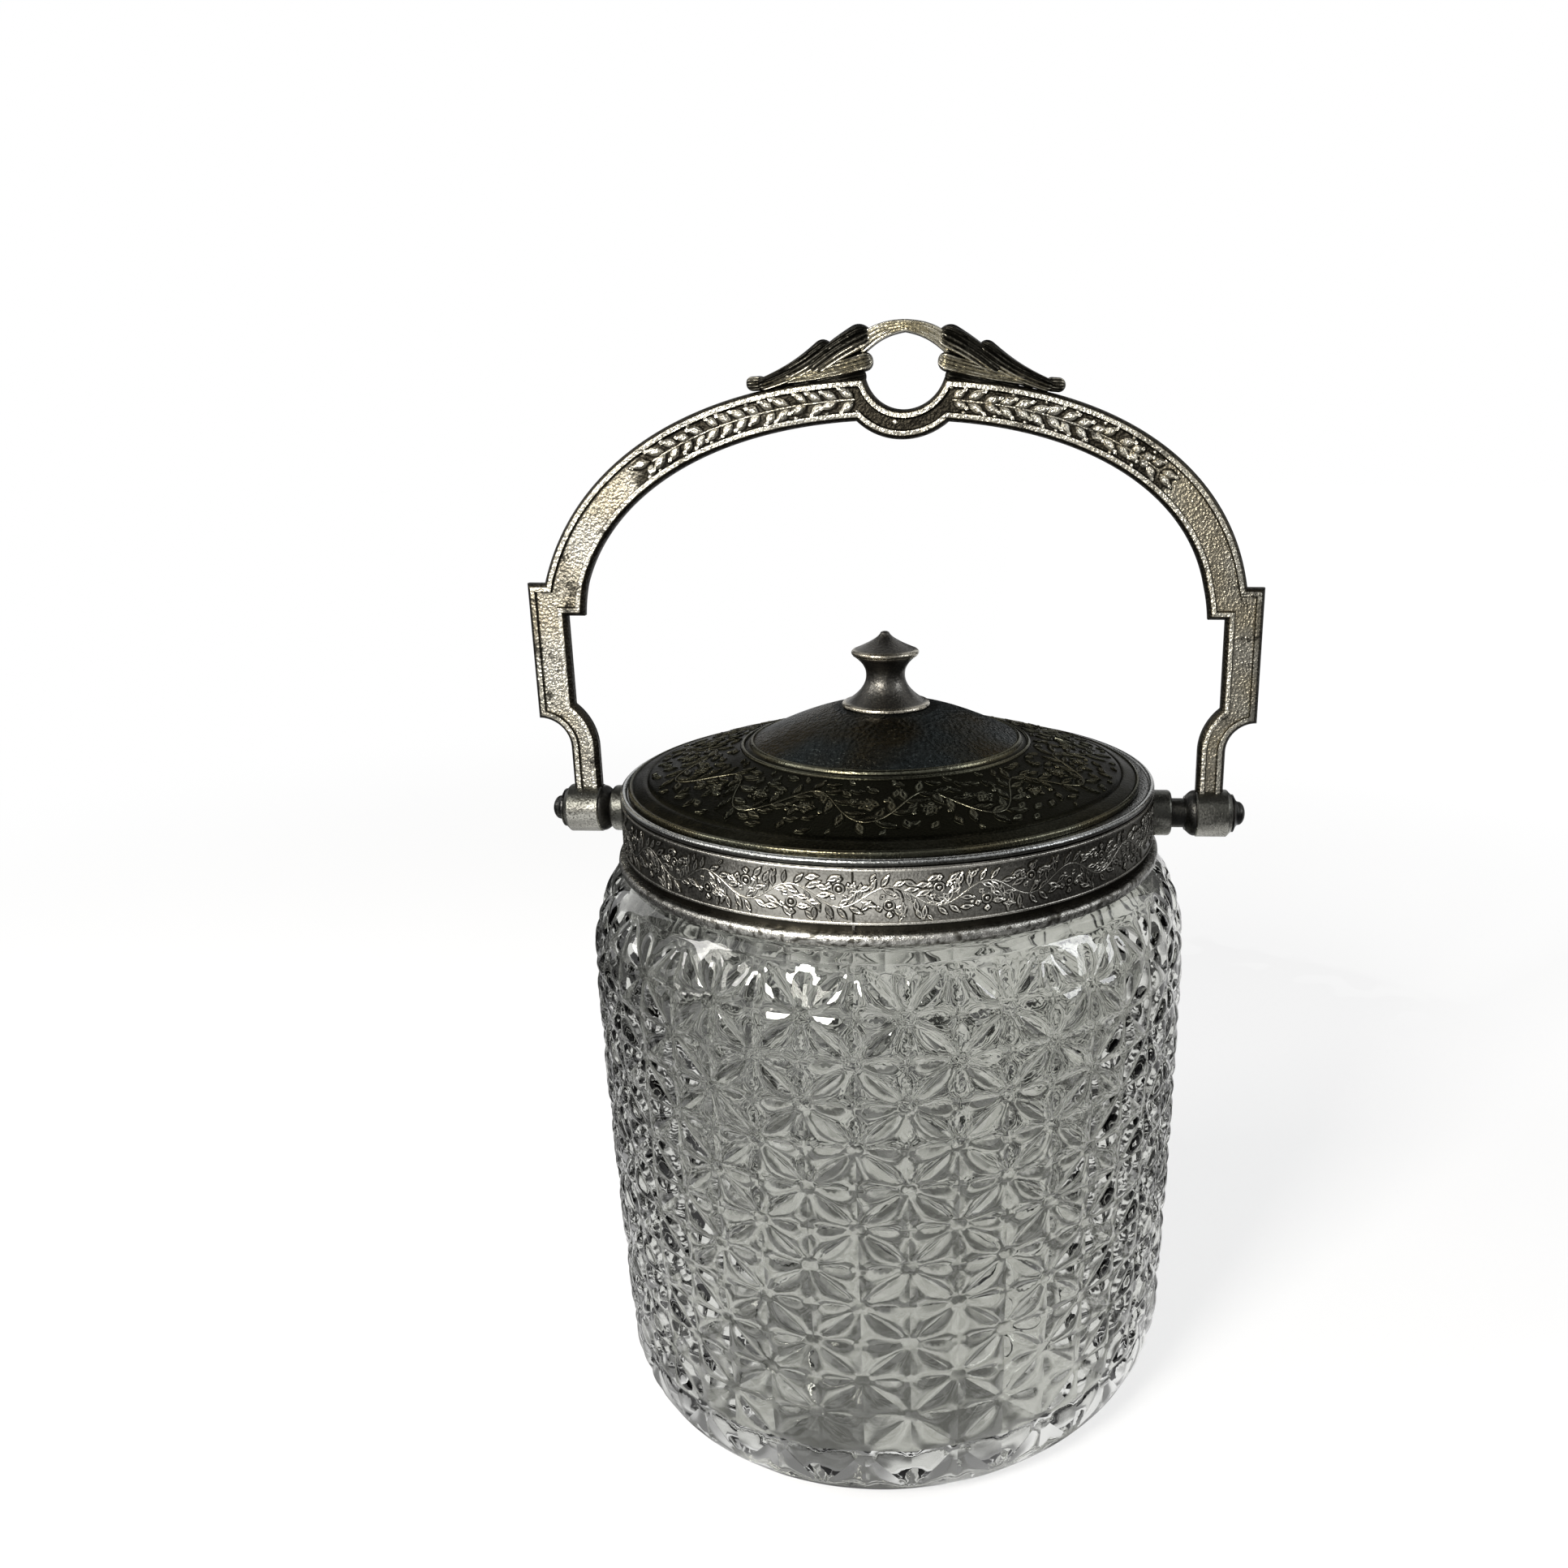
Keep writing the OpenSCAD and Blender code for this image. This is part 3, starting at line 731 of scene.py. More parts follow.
def on_pivot(piece: Piece, side: int, z_mm: float, slid: float = 0.0) -> Piece:
    """Lays a piece turned about Z on the pivot line, pointing out along side * X.

    Args:
        piece: the turned piece.
        side: -1 left, 1 right.
        z_mm: the pivot's height.
        slid: shift along X in millimetres.

    Returns:
        The piece.
    """
    turn = Matrix.Rotation(side * math.pi / 2, 4, "Y")
    piece.data.transform(Matrix.Translation(Vector((slid, 0, z_mm)) * MM) @ turn)
    return piece


def trimmed(length: float, start: float, rise: float, low: float, high: float) -> float:
    """A leaf's length, cut back so that its tip stays between two edges.

    Args:
        length: the length it would have.
        start: where its root lies between the edges.
        rise: how fast it nears the higher edge, from -1 to 1.
        low: the lower edge.
        high: the higher edge.

    Returns:
        The length that has room.
    """
    if abs(rise) < 0.05:
        return length
    return max(0.0, min(length, ((high if rise > 0 else low) - start) / rise))


def dress(
    piece: Piece,
    body: str,
    finish: bpy.types.Material,
    stands_for: Sequence[str] = (),
) -> Piece:
    """Gives a piece its finish and fixes it to its body.

    Args:
        piece: the finished mesh.
        body: name of the body that carries it.
        finish: its material.
        stands_for: the nodes that it replaces.

    Returns:
        The piece.
    """
    piece.data.materials.clear()
    piece.data.materials.append(finish)
    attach(piece, body)
    if stands_for:
        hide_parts(*stands_for)
    LOG.info("%s: %d faces, on %s", piece.name, len(piece.data.polygons), body)
    return piece


# Motifs of the embossed ornament


class Motifs:
    """The few small reliefs that the ornament repeats, each modelled once, 1 mm long."""

    def __init__(self) -> None:
        """Models the three blades, the berry and the rosette."""
        self.leaf = self._blade("motif_leaf", 0.34, 0.9)
        self.petal = self._blade("motif_petal", 0.62, 1.2)
        self.laurel = self._blade("motif_laurel", 0.42, 0.8, 0.12)
        self.berry = self._berry()
        self.rosette = self._rosette()

    @staticmethod
    def _blade(name: str, width: float, lean: float, crease: float = -0.18) -> Piece:
        """A low blade with a midrib and a dark edge round it.

        Args:
            name: the motif's name.
            width: its width as a share of its length.
            lean: moves its widest place towards the tip.
            crease: height of its midrib above the blade; negative where it is sunk.

        Returns:
            The motif, from x 0 to 1 mm and about 0.75 mm high before it is scaled.
        """
        steps = 7
        half = [math.sin(math.pi * (i / steps) ** lean) * width * 0.6 for i in range(steps + 1)]
        rim = [(i / steps, half[i]) for i in range(steps + 1)]
        rim += [(i / steps, -half[i]) for i in range(steps - 1, 0, -1)]
        piece = section_ring(name, [Vector((x, y, -0.6)) * MM for x, y in rim])
        with editing(piece):
            bpy.ops.mesh.edge_face_add()
            bpy.ops.mesh.extrude_region_move(TRANSFORM_OT_translate={"value": (0, 0, 0.7 * MM)})
            bpy.ops.mesh.select_all(action="SELECT")
            bpy.ops.mesh.normals_make_consistent(inside=False)
            pick_faces(piece, lambda face: face.center.z > 0.05 * MM)
            for share, depth in ((0.13, 0.04), (0.22, 0.60), (0.10, crease)):
                bpy.ops.mesh.inset(
                    thickness=width * share * MM, depth=depth * MM, use_even_offset=False
                )
        clean(piece, turn=False)
        store_relief(piece, lambda co: unit((co.z / MM - 0.13) / 0.55))
        return smooth(piece, 50.0)

    @staticmethod
    def _berry() -> Piece:
        """A round berry, 1 mm across."""
        size = {"segments": 10, "ring_count": 7, "radius": 0.5 * MM}
        piece = primitive("uv_sphere", "motif_berry", **size)
        store_relief(piece, lambda co: unit(0.25 + 1.8 * co.z / MM))
        return smooth(piece, 80.0)

    @staticmethod
    def _rosette() -> Piece:
        """A ring round a dot on a dark low disc, 1 mm across."""
        size = {"major_radius": 0.35 * MM, "minor_radius": 0.10 * MM}
        ring = primitive("torus", "ring", major_segments=14, minor_segments=6, **size)
        dot = primitive("uv_sphere", "dot", segments=8, ring_count=6, radius=0.17 * MM)
        disc = primitive("uv_sphere", "disc", segments=14, ring_count=5, radius=0.56 * MM)
        move_points(disc, lambda co: Vector((co.x, co.y, co.z * 0.09)))
        piece = joined("motif_rosette", [ring, dot, disc])
        store_relief(piece, lambda co: unit((co.z / MM - 0.055) * 20.0))
        return smooth(piece, 80.0)

    def flower(self, at: Vector, along: Vector, normal: Vector, size: float, height: float) -> List[Piece]:
        """Five petals round a berry.

        Args:
            at: its middle.
            along: direction of the first petal.
            normal: the surface's normal.
            size: its diameter in millimetres.
            height: how far it stands up, in millimetres.

        Returns:
            The pieces.
        """
        petal = (size * 0.5, size * 0.55, height)
        turns = [Matrix.Rotation(math.tau * turn / 5, 3, normal) for turn in range(5)]
        made = [laid(self.petal, at, turn @ along, normal, petal) for turn in turns]
        berry = (size * 0.28, size * 0.28, height * 2.2)
        return [*made, laid(self.berry, at, along, normal, berry)]

    def discard(self) -> None:
        """Removes the patterns once all copies are made."""
        for pattern in (self.leaf, self.petal, self.laurel, self.berry, self.rosette):
            bpy.data.objects.remove(pattern, do_unlink=True)


# The jar


@dataclass
class PressedGlass:
    """The glass body: pillows between star-shaped grooves, smooth inside."""

    belly_r: float = 64.8
    lower_r: float = 63.0
    foot_r: float = 49.5
    corner_h: float = 17.0
    corner_power: float = 2.5
    shoulder_z: float = 102.0
    shoulder_h: float = 20.2
    neck_r: float = 53.6
    neck_h: float = 11.8
    wall: float = 4.0
    neck_wall: float = 3.4
    floor_t: float = 7.0
    foot_w: float = 9.0
    foot_hollow: float = 1.5
    columns: int = 42
    rows: int = 12
    first_row_z: float = 15.8
    corner_row_z: float = 5.0
    plain_shoulder: float = 3.2
    star_depth: float = 0.9
    cross_depth: float = 0.52
    pattern_turn: float = 6.95
    groove_reach: float = 0.293
    inside_bend: float = 9.0
    cell: int = 8

    @property
    def shoulder_top(self) -> float:
        """Height at which the shoulder meets the neck."""
        return self.shoulder_z + self.shoulder_h

    @property
    def row_h(self) -> float:
        """Height of one row of the pattern."""
        return (self.shoulder_top - self.plain_shoulder - self.first_row_z) / self.rows

    def radius(self, z: float) -> float:
        """Outer radius at a height, before the grooves."""
        if z < self.corner_h:
            rise = max(0.0, 1 - z / self.corner_h) ** self.corner_power
            return self.foot_r + (self.lower_r - self.foot_r) * (1 - rise) ** (1 / self.corner_power)
        if z < self.shoulder_z:
            share = (z - self.corner_h) / (self.shoulder_z - self.corner_h)
            return self.lower_r + (self.belly_r - self.lower_r) * math.sin(math.pi / 2 * share)
        share = min(1.0, (z - self.shoulder_z) / self.shoulder_h)
        return self.neck_r + (self.belly_r - self.neck_r) * math.sqrt(1 - share * share)

    def row(self, z: float) -> float:
        """Row of the pattern at a height, counted from the corner row."""
        if z < self.first_row_z:
            return (z - self.corner_row_z) / (self.first_row_z - self.corner_row_z)
        return 1 + (z - self.first_row_z) / self.row_h

    def sunk(self, column: float, row: float) -> float:
        """Depth of the pattern.

        Args:
            column: place around the jar, in columns.
            row: place up the jar, in rows.

        Returns:
            Depth below the plain surface, in millimetres.
        """
        iu, iv = math.floor(column), math.floor(row)
        fu, fv = column - iu, row - iv
        if (iu + iv) % 2:
            fu = 1 - fu
        if fv > fu:
            legs = (fu, 1 - fv)
            slant = (fv - fu) / math.sqrt(2)
        else:
            legs = (1 - fu, fv)
            slant = (fu - fv) / math.sqrt(2)
        rise = 1.0
        for distance in (*legs, slant):
            rise *= 1 - (1 - min(1.0, distance / self.groove_reach)) ** 2
        near_star = 0.5 + 0.5 * math.cos(math.pi * column) * math.cos(math.pi * row)
        depth = self.cross_depth + (self.star_depth - self.cross_depth) * near_star
        return depth * (1 - rise)

    def section(self) -> List[Point2]:
        """The closed section, from under the foot up the outside and down the inside."""
        top_z = self.shoulder_top - self.plain_shoulder
        mouth_z, mouth_r = self.shoulder_top + self.neck_h, self.neck_r - self.neck_wall
        points = [(0.0, self.foot_hollow), (20.0, self.foot_hollow)]
        points += [(self.foot_r - self.foot_w - self.foot_hollow, self.foot_hollow)]
        points += [(self.foot_r - self.foot_w, 0.0), (self.foot_r, 0.0)]
        points += [(self.radius(z), z) for z in (0.15, 0.4, 0.8, 1.3, 1.8, 2.5, 3.3, 4.1)]
        lower = [
            self.corner_row_z + (self.first_row_z - self.corner_row_z) * i / self.cell
            for i in range(self.cell)
        ]
        upper = [
            self.first_row_z + self.row_h * i / self.cell for i in range(self.rows * self.cell)
        ]
        shoulder = [top_z + self.plain_shoulder * i / 8 for i in range(9)]
        points += [(self.radius(z), z) for z in lower + upper + shoulder]
        points += [(self.neck_r, mouth_z - 1), (self.neck_r - 0.9, mouth_z)]
        points += [(mouth_r + 0.9, mouth_z), (mouth_r, mouth_z - 1), (mouth_r, self.shoulder_top - 1)]
        inside_r, inside_low = self.belly_r - self.wall, self.lower_r - self.wall
        high, low = self.shoulder_z - 2, self.floor_t + self.inside_bend
        reach = (inside_r - mouth_r, (self.shoulder_h + 1) * 0.9)
        points += arc((mouth_r, high), reach, range(75, -1, -5))
        for share in (i / 24 for i in range(1, 24)):
            points.append((inside_r + (inside_low - inside_r) * share, high + (low - high) * share))
        bend = self.inside_bend
        points += arc((inside_low - bend, low), (bend, -bend), range(0, 91, 10))
        points += [(r, self.floor_t) for r in (40.0, 28.0, 14.0, 0.0)]
        return points

    def build(self, finish: bpy.types.Material) -> Piece:
        """Builds the glass.

        Args:
            finish: its material.

        Returns:
            The piece.
        """
        steps = self.columns * self.cell
        start = self.pattern_turn - 90
        piece = turned("glass_body", self.section(), steps, start)
        low, high = self.corner_row_z * MM, (self.shoulder_top - self.plain_shoulder) * MM

        def patterned(x: float, y: float, z: float) -> bool:
            """Whether a point is on the outside, between the first and last row."""
            outside = math.hypot(x, y) > (self.radius(z / MM) - 1.0) * MM
            return low - 1e-6 <= z <= high + 1e-6 and outside

        with editing(piece, "FACE"):
            pick_faces(piece, lambda face: patterned(*face.center))
            bpy.ops.mesh.poke()

        top_row = self.row(high / MM)

        def press(co: Vector) -> Vector:
            """Presses a point in by the pattern's depth, and lets the wall ripple."""
            r = math.hypot(co.x, co.y)
            if r < 1e-9 or co.z < 3 * MM or co.z > self.shoulder_top * MM:
                return co
            ripple = noise.noise(co * 55.0) * 0.10 + noise.noise(co * 160.0) * 0.03
            if patterned(*co):
                column = (math.degrees(math.atan2(co.y, co.x)) - start) / 360 * self.columns
                row = self.row(co.z / MM)
                fade = min(1.0, row / 0.45, max(0.0, (top_row - row) / 0.25))
                depth = self.sunk(column % self.columns, row) * fade
                shift = min(0.0, ripple) - depth
            else:
                shift = ripple * 1.4
            k = (r + shift * MM) / r
            return Vector((co.x * k, co.y * k, co.z))

        move_points(piece, press)
        smooth(piece, 24.0)
        return dress(piece, "jar", finish, ["glass_jar"])


# The collar


@dataclass
class Collar:
    """The plated collar: bead, embossed band, rim with the sleeve, and the lugs."""

    band_in_r: float = 56.2
    band_r: float = 57.0
    band_z: float = 124.195
    band_h: float = 12.4
    bead_r: float = 1.5
    bead_z: float = 123.1
    groove_h: float = 1.4
    groove_d: float = 0.4
    seat_t: float = 1.0
    roll_r: float = 0.7
    sleeve_r: float = 49.9
    sleeve_t: float = 0.7
    sleeve_h: float = 9.6
    lug_r: float = 5.0
    lug_end: float = 61.2
    pin_r: float = 3.2
    pivot_z: float = 129.695
    ridge_at: float = 0.45
    ridge_w: float = 0.26
    ridge_half_h: float = 0.32
    field_edge: float = 0.9
    waves: int = 20
    stem_r: float = 0.2
    stem_swing: float = 2.0
    leaves_a_wave: int = 9
    leaf_l: float = 3.7
    leaf_least: float = 1.2
    rose_off: float = 1.45
    rose_clear: float = 2.1
    petal_off: float = 0.95
    berry_off: float = 2.9
    relief: float = 0.34

    @property
    def band_top(self) -> float:
        """Height of the band's top edge."""
        return self.band_z + self.band_h

    @property
    def seat_z(self) -> float:
        """Height of the seat of the lid."""
        return self.band_top + self.seat_t

    def band(self) -> Piece:
        """The band, plain: groove, two fine ridges and a field between them."""
        low, top = self.band_z + self.groove_h, self.band_top
        outside = [
            (self.band_r - self.groove_d, self.band_z),
            (self.band_r - self.groove_d, low - 0.25),
            (self.band_r - 0.1, low),
        ]
        ridge = (self.ridge_w, self.ridge_half_h)
        for middle in (low + self.ridge_at, top - self.ridge_at):
            outside += arc((self.band_r - 0.02, middle), ridge, range(-90, 91, 30))
            if middle < low + 1:
                outside += [
                    (self.band_r - 0.05 + 0.12 * math.sin(math.pi * i / 16), low + 0.9 + i * 0.55)
                    for i in range(1, 17)
                ]
        outside.append((self.band_r - 0.05, top))
        section = [(self.band_in_r, self.band_z), *outside, (self.band_in_r, top)]
        piece = turned("collar_band_body", section, 360)
        store_relief(piece, self._field_height)
        return smooth(piece, 40.0)

    def _field_height(self, co: Vector) -> float:
        """Relief of the plain band: ridges high, groove low, field between."""
        r = math.hypot(co.x, co.y) / MM
        return unit(0.60 + (r - self.band_r) * 2.0)

    def seam(self) -> Piece:
        """The soldered seam of the strip, at the front."""
        piece = primitive("cube", "collar_seam", size=1.0)
        with editing(piece):
            bpy.ops.mesh.subdivide(number_cuts=9)
        low, high = self.band_z + 0.2, self.band_top - 0.1

        def place(co: Vector) -> Vector:
            """Wraps the strip on the band, with an uneven edge."""
            z = low + (co.z + 0.5) * (high - low)
            width = 0.42 + 0.2 * noise.noise(Vector((0.0, 3.0, z * 0.9)))
            a = math.radians(-92.0) + co.x * width / self.band_r
            r = self.band_r - 0.3 + (0.5 + co.y) * 0.42
            return Vector((math.cos(a) * r, math.sin(a) * r, z)) * MM

        move_points(piece, place)
        clean(piece)
        store_relief(piece, lambda co: 0.25 + 0.5 * noise.noise(co * 900.0))
        return smooth(piece, 60.0)

    def sprigs(self, motifs: Motifs) -> List[Piece]:
        """The running ornament on the band: a waving stem, leaves, flowers and berries.

        Args:
            motifs: the small reliefs to copy.

        Returns:
            The pieces.
        """
        made: List[Piece] = []
        low, high = self.band_z + self.groove_h + self.field_edge, self.band_top - self.field_edge
        middle = (low + high) / 2
        length = math.tau * self.band_r / self.waves

        def stem_z(s: float) -> float:
            """Height of the stem at a place round the band."""
            return middle + self.stem_swing * math.sin(math.tau * s / length)

        def put(motif: Piece, s: float, z: float, way: float, scale: Triple) -> None:
            """Copies a motif onto the band, turned by an angle from its course."""
            at, along, normal = self._on_band(s, z)
            course = along * math.cos(way) + Vector((0, 0, 1)) * math.sin(way)
            made.append(laid(motif, at, course, normal, scale))

        def leaf(s: float, z: float, way: float, scale: Triple) -> None:
            """A leaf in the field, left out where it would cover a rose."""
            size = trimmed(scale[0], z, math.sin(way), low - 0.2, high)
            reach = size * 0.6
            spot = (s + reach * math.cos(way), z + reach * math.sin(way))
            away = min(math.hypot(spot[0] - at, spot[1] - up) for at, up, _ in roses)
            if size > self.leaf_least and away > self.rose_clear:
                put(motifs.leaf, s, z, way, (size, scale[1] * size / scale[0], scale[2]))

        stem = []
        for index in range(12 * self.waves + 1):
            s = index * length / 12
            at, _, normal = self._on_band(s, stem_z(s))
            stem.append(at + normal * 0.04 * MM)
        made.append(wire("band_stem", stem, self.stem_r))
        roses = [
            ((wave + share) * length, middle + side * self.rose_off, side)
            for wave in range(self.waves)
            for share, side in ((0.25, -1), (0.75, 1))
        ]
        for index in range(self.leaves_a_wave * self.waves):
            s = (index + 0.5) * length / self.leaves_a_wave
            slope = math.atan2(stem_z(s + 0.1) - stem_z(s - 0.1), 0.2)
            for side in (1, -1):
                jitter = noise.noise(Vector((s, 1.7 * side, 0.0)))
                room = (high - stem_z(s)) if side > 0 else (stem_z(s) - low)
                size = min(self.leaf_l + 1.2 * jitter, room * 1.2)
                way = slope + side * (0.8 + 0.7 * jitter)
                leaf(s, stem_z(s), way, (size, size * 1.1, self.relief))
                for tier in (1, 2):
                    if room > 2.2 * tier + 1.0:
                        other = noise.noise(Vector((s * 0.9, 5.1 * tier, 2.0 * side)))
                        z = stem_z(s) + side * (2.0 * tier + 0.5 * other)
                        way = slope + side * 0.5 + 2.5 * other
                        leaf(s + 0.8 * other, z, way, (3.2, 3.9, self.relief))
        petal = (1.8, 2.5, self.relief)
        for s, z, side in roses:
            put(motifs.rosette, s, z, 0.0, (2.5, 2.5, 2.0))
            for turn in range(5):
                way = turn * math.tau / 5 + 0.3 * side
                off = (self.petal_off * math.cos(way), self.petal_off * math.sin(way))
                put(motifs.petal, s + off[0], z + off[1], way, petal)
            put(motifs.berry, s + self.berry_off, z + side * 0.6, 0.0, (0.8, 0.8, 0.5))
            put(motifs.berry, s - self.berry_off, z + side * 0.4, 0.0, (0.7, 0.7, 0.5))
        return made

    def _on_band(self, s: float, z: float) -> Tuple[Vector, Vector, Vector]:
        """A place on the band: point, direction round it and outward normal."""
        a = s / self.band_r - math.pi / 2
        normal = Vector((math.cos(a), math.sin(a), 0.0))
        along = Vector((-math.sin(a), math.cos(a), 0.0))
        return Vector((normal.x * self.band_r, normal.y * self.band_r, z)) * MM, along, normal

    def bead(self) -> Piece:
        """The rolled bead under the band, grainy all over."""
        ring = arc((self.band_r - 0.1, self.bead_z), (self.bead_r, self.bead_r), range(0, 360, 18))
        section = [(r, min(z, self.band_z)) for r, z in ring]
        piece = turned("collar_bead_body", section, 720)

        def roughen(co: Vector) -> Vector:
            """Makes the bead's skin uneven, inwards only."""
            out = Vector((co.x, co.y, 0.0)).normalized()
            centre = out * (self.band_r - 0.1) * MM + Vector((0, 0, self.bead_z * MM))
            lump = noise.noise(co * 1500.0) * 0.5 + 0.5 + 0.6 * noise.noise(co * 500.0)
            return co + (centre - co).normalized() * 0.012 * MM * unit(lump)

        move_points(piece, roughen)
        store_relief(piece, lambda co: unit(0.62 + 0.9 * noise.noise(co * 1100.0)))
        return smooth(piece, 80.0)

    def rim(self) -> Piece:
        """The seat ring with its rolled edge, and the sleeve in the mouth."""
        inner, low, top = self.sleeve_r - self.sleeve_t, self.seat_z - self.sleeve_h, self.band_top
        roll_at = (self.band_r - self.roll_r + 0.15, self.seat_z - 0.2)
        *roll, last = arc(roll_at, (self.roll_r, self.roll_r), range(-60, 166, 15))
        section = [(inner, low), (self.sleeve_r, low), (self.sleeve_r, top)]
        section += [(r, max(z, top)) for r, z in roll]
        section += [(last[0], self.seat_z), (inner + 0.2, self.seat_z), (inner, self.seat_z - 0.2)]
        piece = turned("collar_rim_body", section, 360)

        def wear(co: Vector) -> Vector:
            """Dents the rolled edge by a hair."""
            dent = 0.05 * MM * abs(noise.noise(co * 120.0))
            return Vector((co.x, co.y, co.z - dent)) if math.hypot(co.x, co.y) >= 55 * MM else co

        move_points(piece, wear)
        store_relief(piece, lambda co: unit(0.5 + (co.z / MM - self.seat_z) * 1.2))
        return smooth(piece, 50.0)

    def lug(self, side: int) -> Piece:
        """A boss on the collar that carries the pivot screw.

        Args:
            side: -1 left, 1 right.

        Returns:
            The piece.
        """
        r, root, end = self.lug_r, self.band_r - 1.2, self.lug_end
        section = [(self.pin_r, root), (r, root), (r, end - 0.8)]
        section += arc((r - 0.8, end - 0.8), (0.8, 0.8), (22, 45, 68, 90))
        section += [(self.pin_r, end)]
        piece = turned(f"lug_{SIDES[side]}_body", section, 64, 0.0)
        on_pivot(piece, side, self.pivot_z)
        store_relief(piece, self._lug_height)
        return smooth(piece, 40.0)

    def _lug_height(self, co: Vector) -> float:
        """Painted light and shade of a lug: bright below, black at its middle, broken by random grain."""
        low = (self.pivot_z - co.z / MM) / self.lug_r
        return unit(0.25 + 0.75 * low + 0.5 * noise.noise(co * 400.0))

    def build(self, motifs: Motifs) -> None:
        """Builds and dresses the collar.

        Args:
            motifs: the small reliefs to copy.
        """
        embossed, bead, barrel = EMBOSSED.material(), BEAD.material(), BARREL.material()
        edge = RIM.material()
        dress(self.band(), "jar", embossed, ["collar_band"])
        dress(joined("collar_sprigs", self.sprigs(motifs)), "jar", embossed)
        dress(self.seam(), "jar", embossed)
        dress(self.bead(), "jar", bead, ["collar_bead"])
        dress(self.rim(), "jar", edge, ["collar_rim"])
        for side, name in SIDES.items():
            dress(self.lug(side), "jar", barrel, [f"lug_{name}"])


# The lid and its finial


@dataclass
class Lid:
    """The domed lid: plain edge, embossed ring, double bead and pebbled dome."""

    seat_z: float = 137.595
    lid_r: float = 54.8
    slid: float = -0.8
    lip_h: float = 1.3
    lip_w: float = 1.2
    crown_h: float = 6.9
    dome_r: float = 29.8
    dome_h: float = 7.6
    dome_power: float = 1.4
    foot_r: float = 9.4
    bead_r: float = 0.5
    bead_gap: float = 1.9
    sheet: float = 0.8
    line_r: float = 50.8
    split_r: float = 28.2
    waves: int = 11
    leaves_a_wave: int = 8
    wreath_r: float = 40.9
    wreath_swing: float = 4.8
    stem_r: float = 0.2
    leaf_l: float = 5.0
    rose_off: float = 5.6
    rose_w: float = 5.0
    outer_gap: float = 0.8
    inner_gap: float = 1.8
    relief: float = 0.36

    @property
    def bead_radii(self) -> Point2:
        """Radii of the two beads round the dome."""
        return self.dome_r - self.bead_gap / 2, self.dome_r + self.bead_gap / 2

    @property
    def lip_top(self) -> float:
        """Height of the lip."""
        return self.seat_z + self.lip_h

    @property
    def crown_r(self) -> float:
        """Radius at which the lid rises from its lip."""
        return self.lid_r - self.lip_w + 0.2

    @property
    def dome_z(self) -> float:
        """Height of the dome's foot."""
        return self.lip_top + self.crown_h

    def face(self, r: float) -> float:
        """Height of the lid's outer face at a radius, in millimetres."""
        if r < self.dome_r:
            share = max(0.0, r - self.foot_r) / (self.dome_r - self.foot_r)
            return self.dome_z + self.dome_h * (1 - share**self.dome_power)
        share = max(0.0, self.crown_r - r) / (self.crown_r - self.dome_r)
        return self.lip_top - 0.15 + (self.crown_h + 0.15) * share**0.9

    def _top(self, r: float) -> float:
        """Height of the outer face with its beads and engraved line."""
        z = self.face(r) - 0.28 * max(0.0, 1 - abs(r - self.line_r) / 0.5)
        for bead in self.bead_radii:
            away = (r - bead) / self.bead_r
            if abs(away) < 1:
                z += (self.bead_r - 0.1) * math.sqrt(1 - away * away)
        return z

    def shell(self, name: str, radii: Sequence[float], lip: Sequence[Point2]) -> Piece:
        """A part of the pressed sheet, as a closed solid.

        Args:
            name: the piece's name.
            radii: radii at which its faces are sampled, from the outside in.
            lip: points of the section before the first radius.

        Returns:
            The piece.
        """
        section = [*lip, *((r, self._top(r)) for r in radii)]
        section += [(r, self.face(r) - self.sheet) for r in reversed(radii)]
        piece = turned(name, section, 288)

        def wave(co: Vector) -> Vector:
            """Lets the sheet wave a little."""
            r = math.hypot(co.x, co.y) / MM
            if r > self.crown_r or co.z / MM < self.face(r) - 0.5:
                return co
            return Vector((co.x, co.y, co.z - 0.05 * (0.5 + noise.noise(co * 90.0)) * MM))

        move_points(piece, wave)
        store_relief(piece, self._height)
        piece.data.transform(Matrix.Translation((self.slid * MM, 0, 0)))
        return smooth(piece, 40.0)

    def ring(self) -> Piece:
        """The sheet from the lip in to the double bead."""
        beads = [bead + self.bead_r * i / 4 for bead in self.bead_radii for i in range(-4, 5)]
        span = self.crown_r - self.split_r
        plain = [self.crown_r - span * i / 60 for i in range(61)]
        half = self.lip_w / 2
        lip = [(self.lid_r - self.lip_w, self.seat_z), (self.lid_r - 0.15, self.seat_z)]
        lip += [(self.lid_r, self.seat_z + 0.15)]
        lip += arc((self.lid_r - half, self.lip_top - half), (half, half), range(0, 91, 15))
        return self.shell("lid_ring", sorted({*plain, *beads}, reverse=True), lip)

    def dome(self) -> Piece:
        """The pebbled dome inside the double bead."""
        span = self.split_r - 1.6
        return self.shell("lid_dome", [self.split_r - span * (i / 60) for i in range(61)], [])

    def _height(self, co: Vector) -> float:
        """Relief of the lid: beads and lip high, ring's ground low, and the dome's top round the finial's
        foot dark as painted shadow.
        """
        r = math.hypot(co.x, co.y) / MM
        if r > self.line_r:
            return 0.8 if r > self.crown_r else 0.30
        if min(abs(r - bead) for bead in self.bead_radii) < self.bead_r * 0.8:
            return 0.9
        # Painted shadow: the dome's top round the finial's foot is dark.
        if r < self.foot_r + 1.6:
            return 0.0
        return 0.5 if r < self.dome_r else 0.12

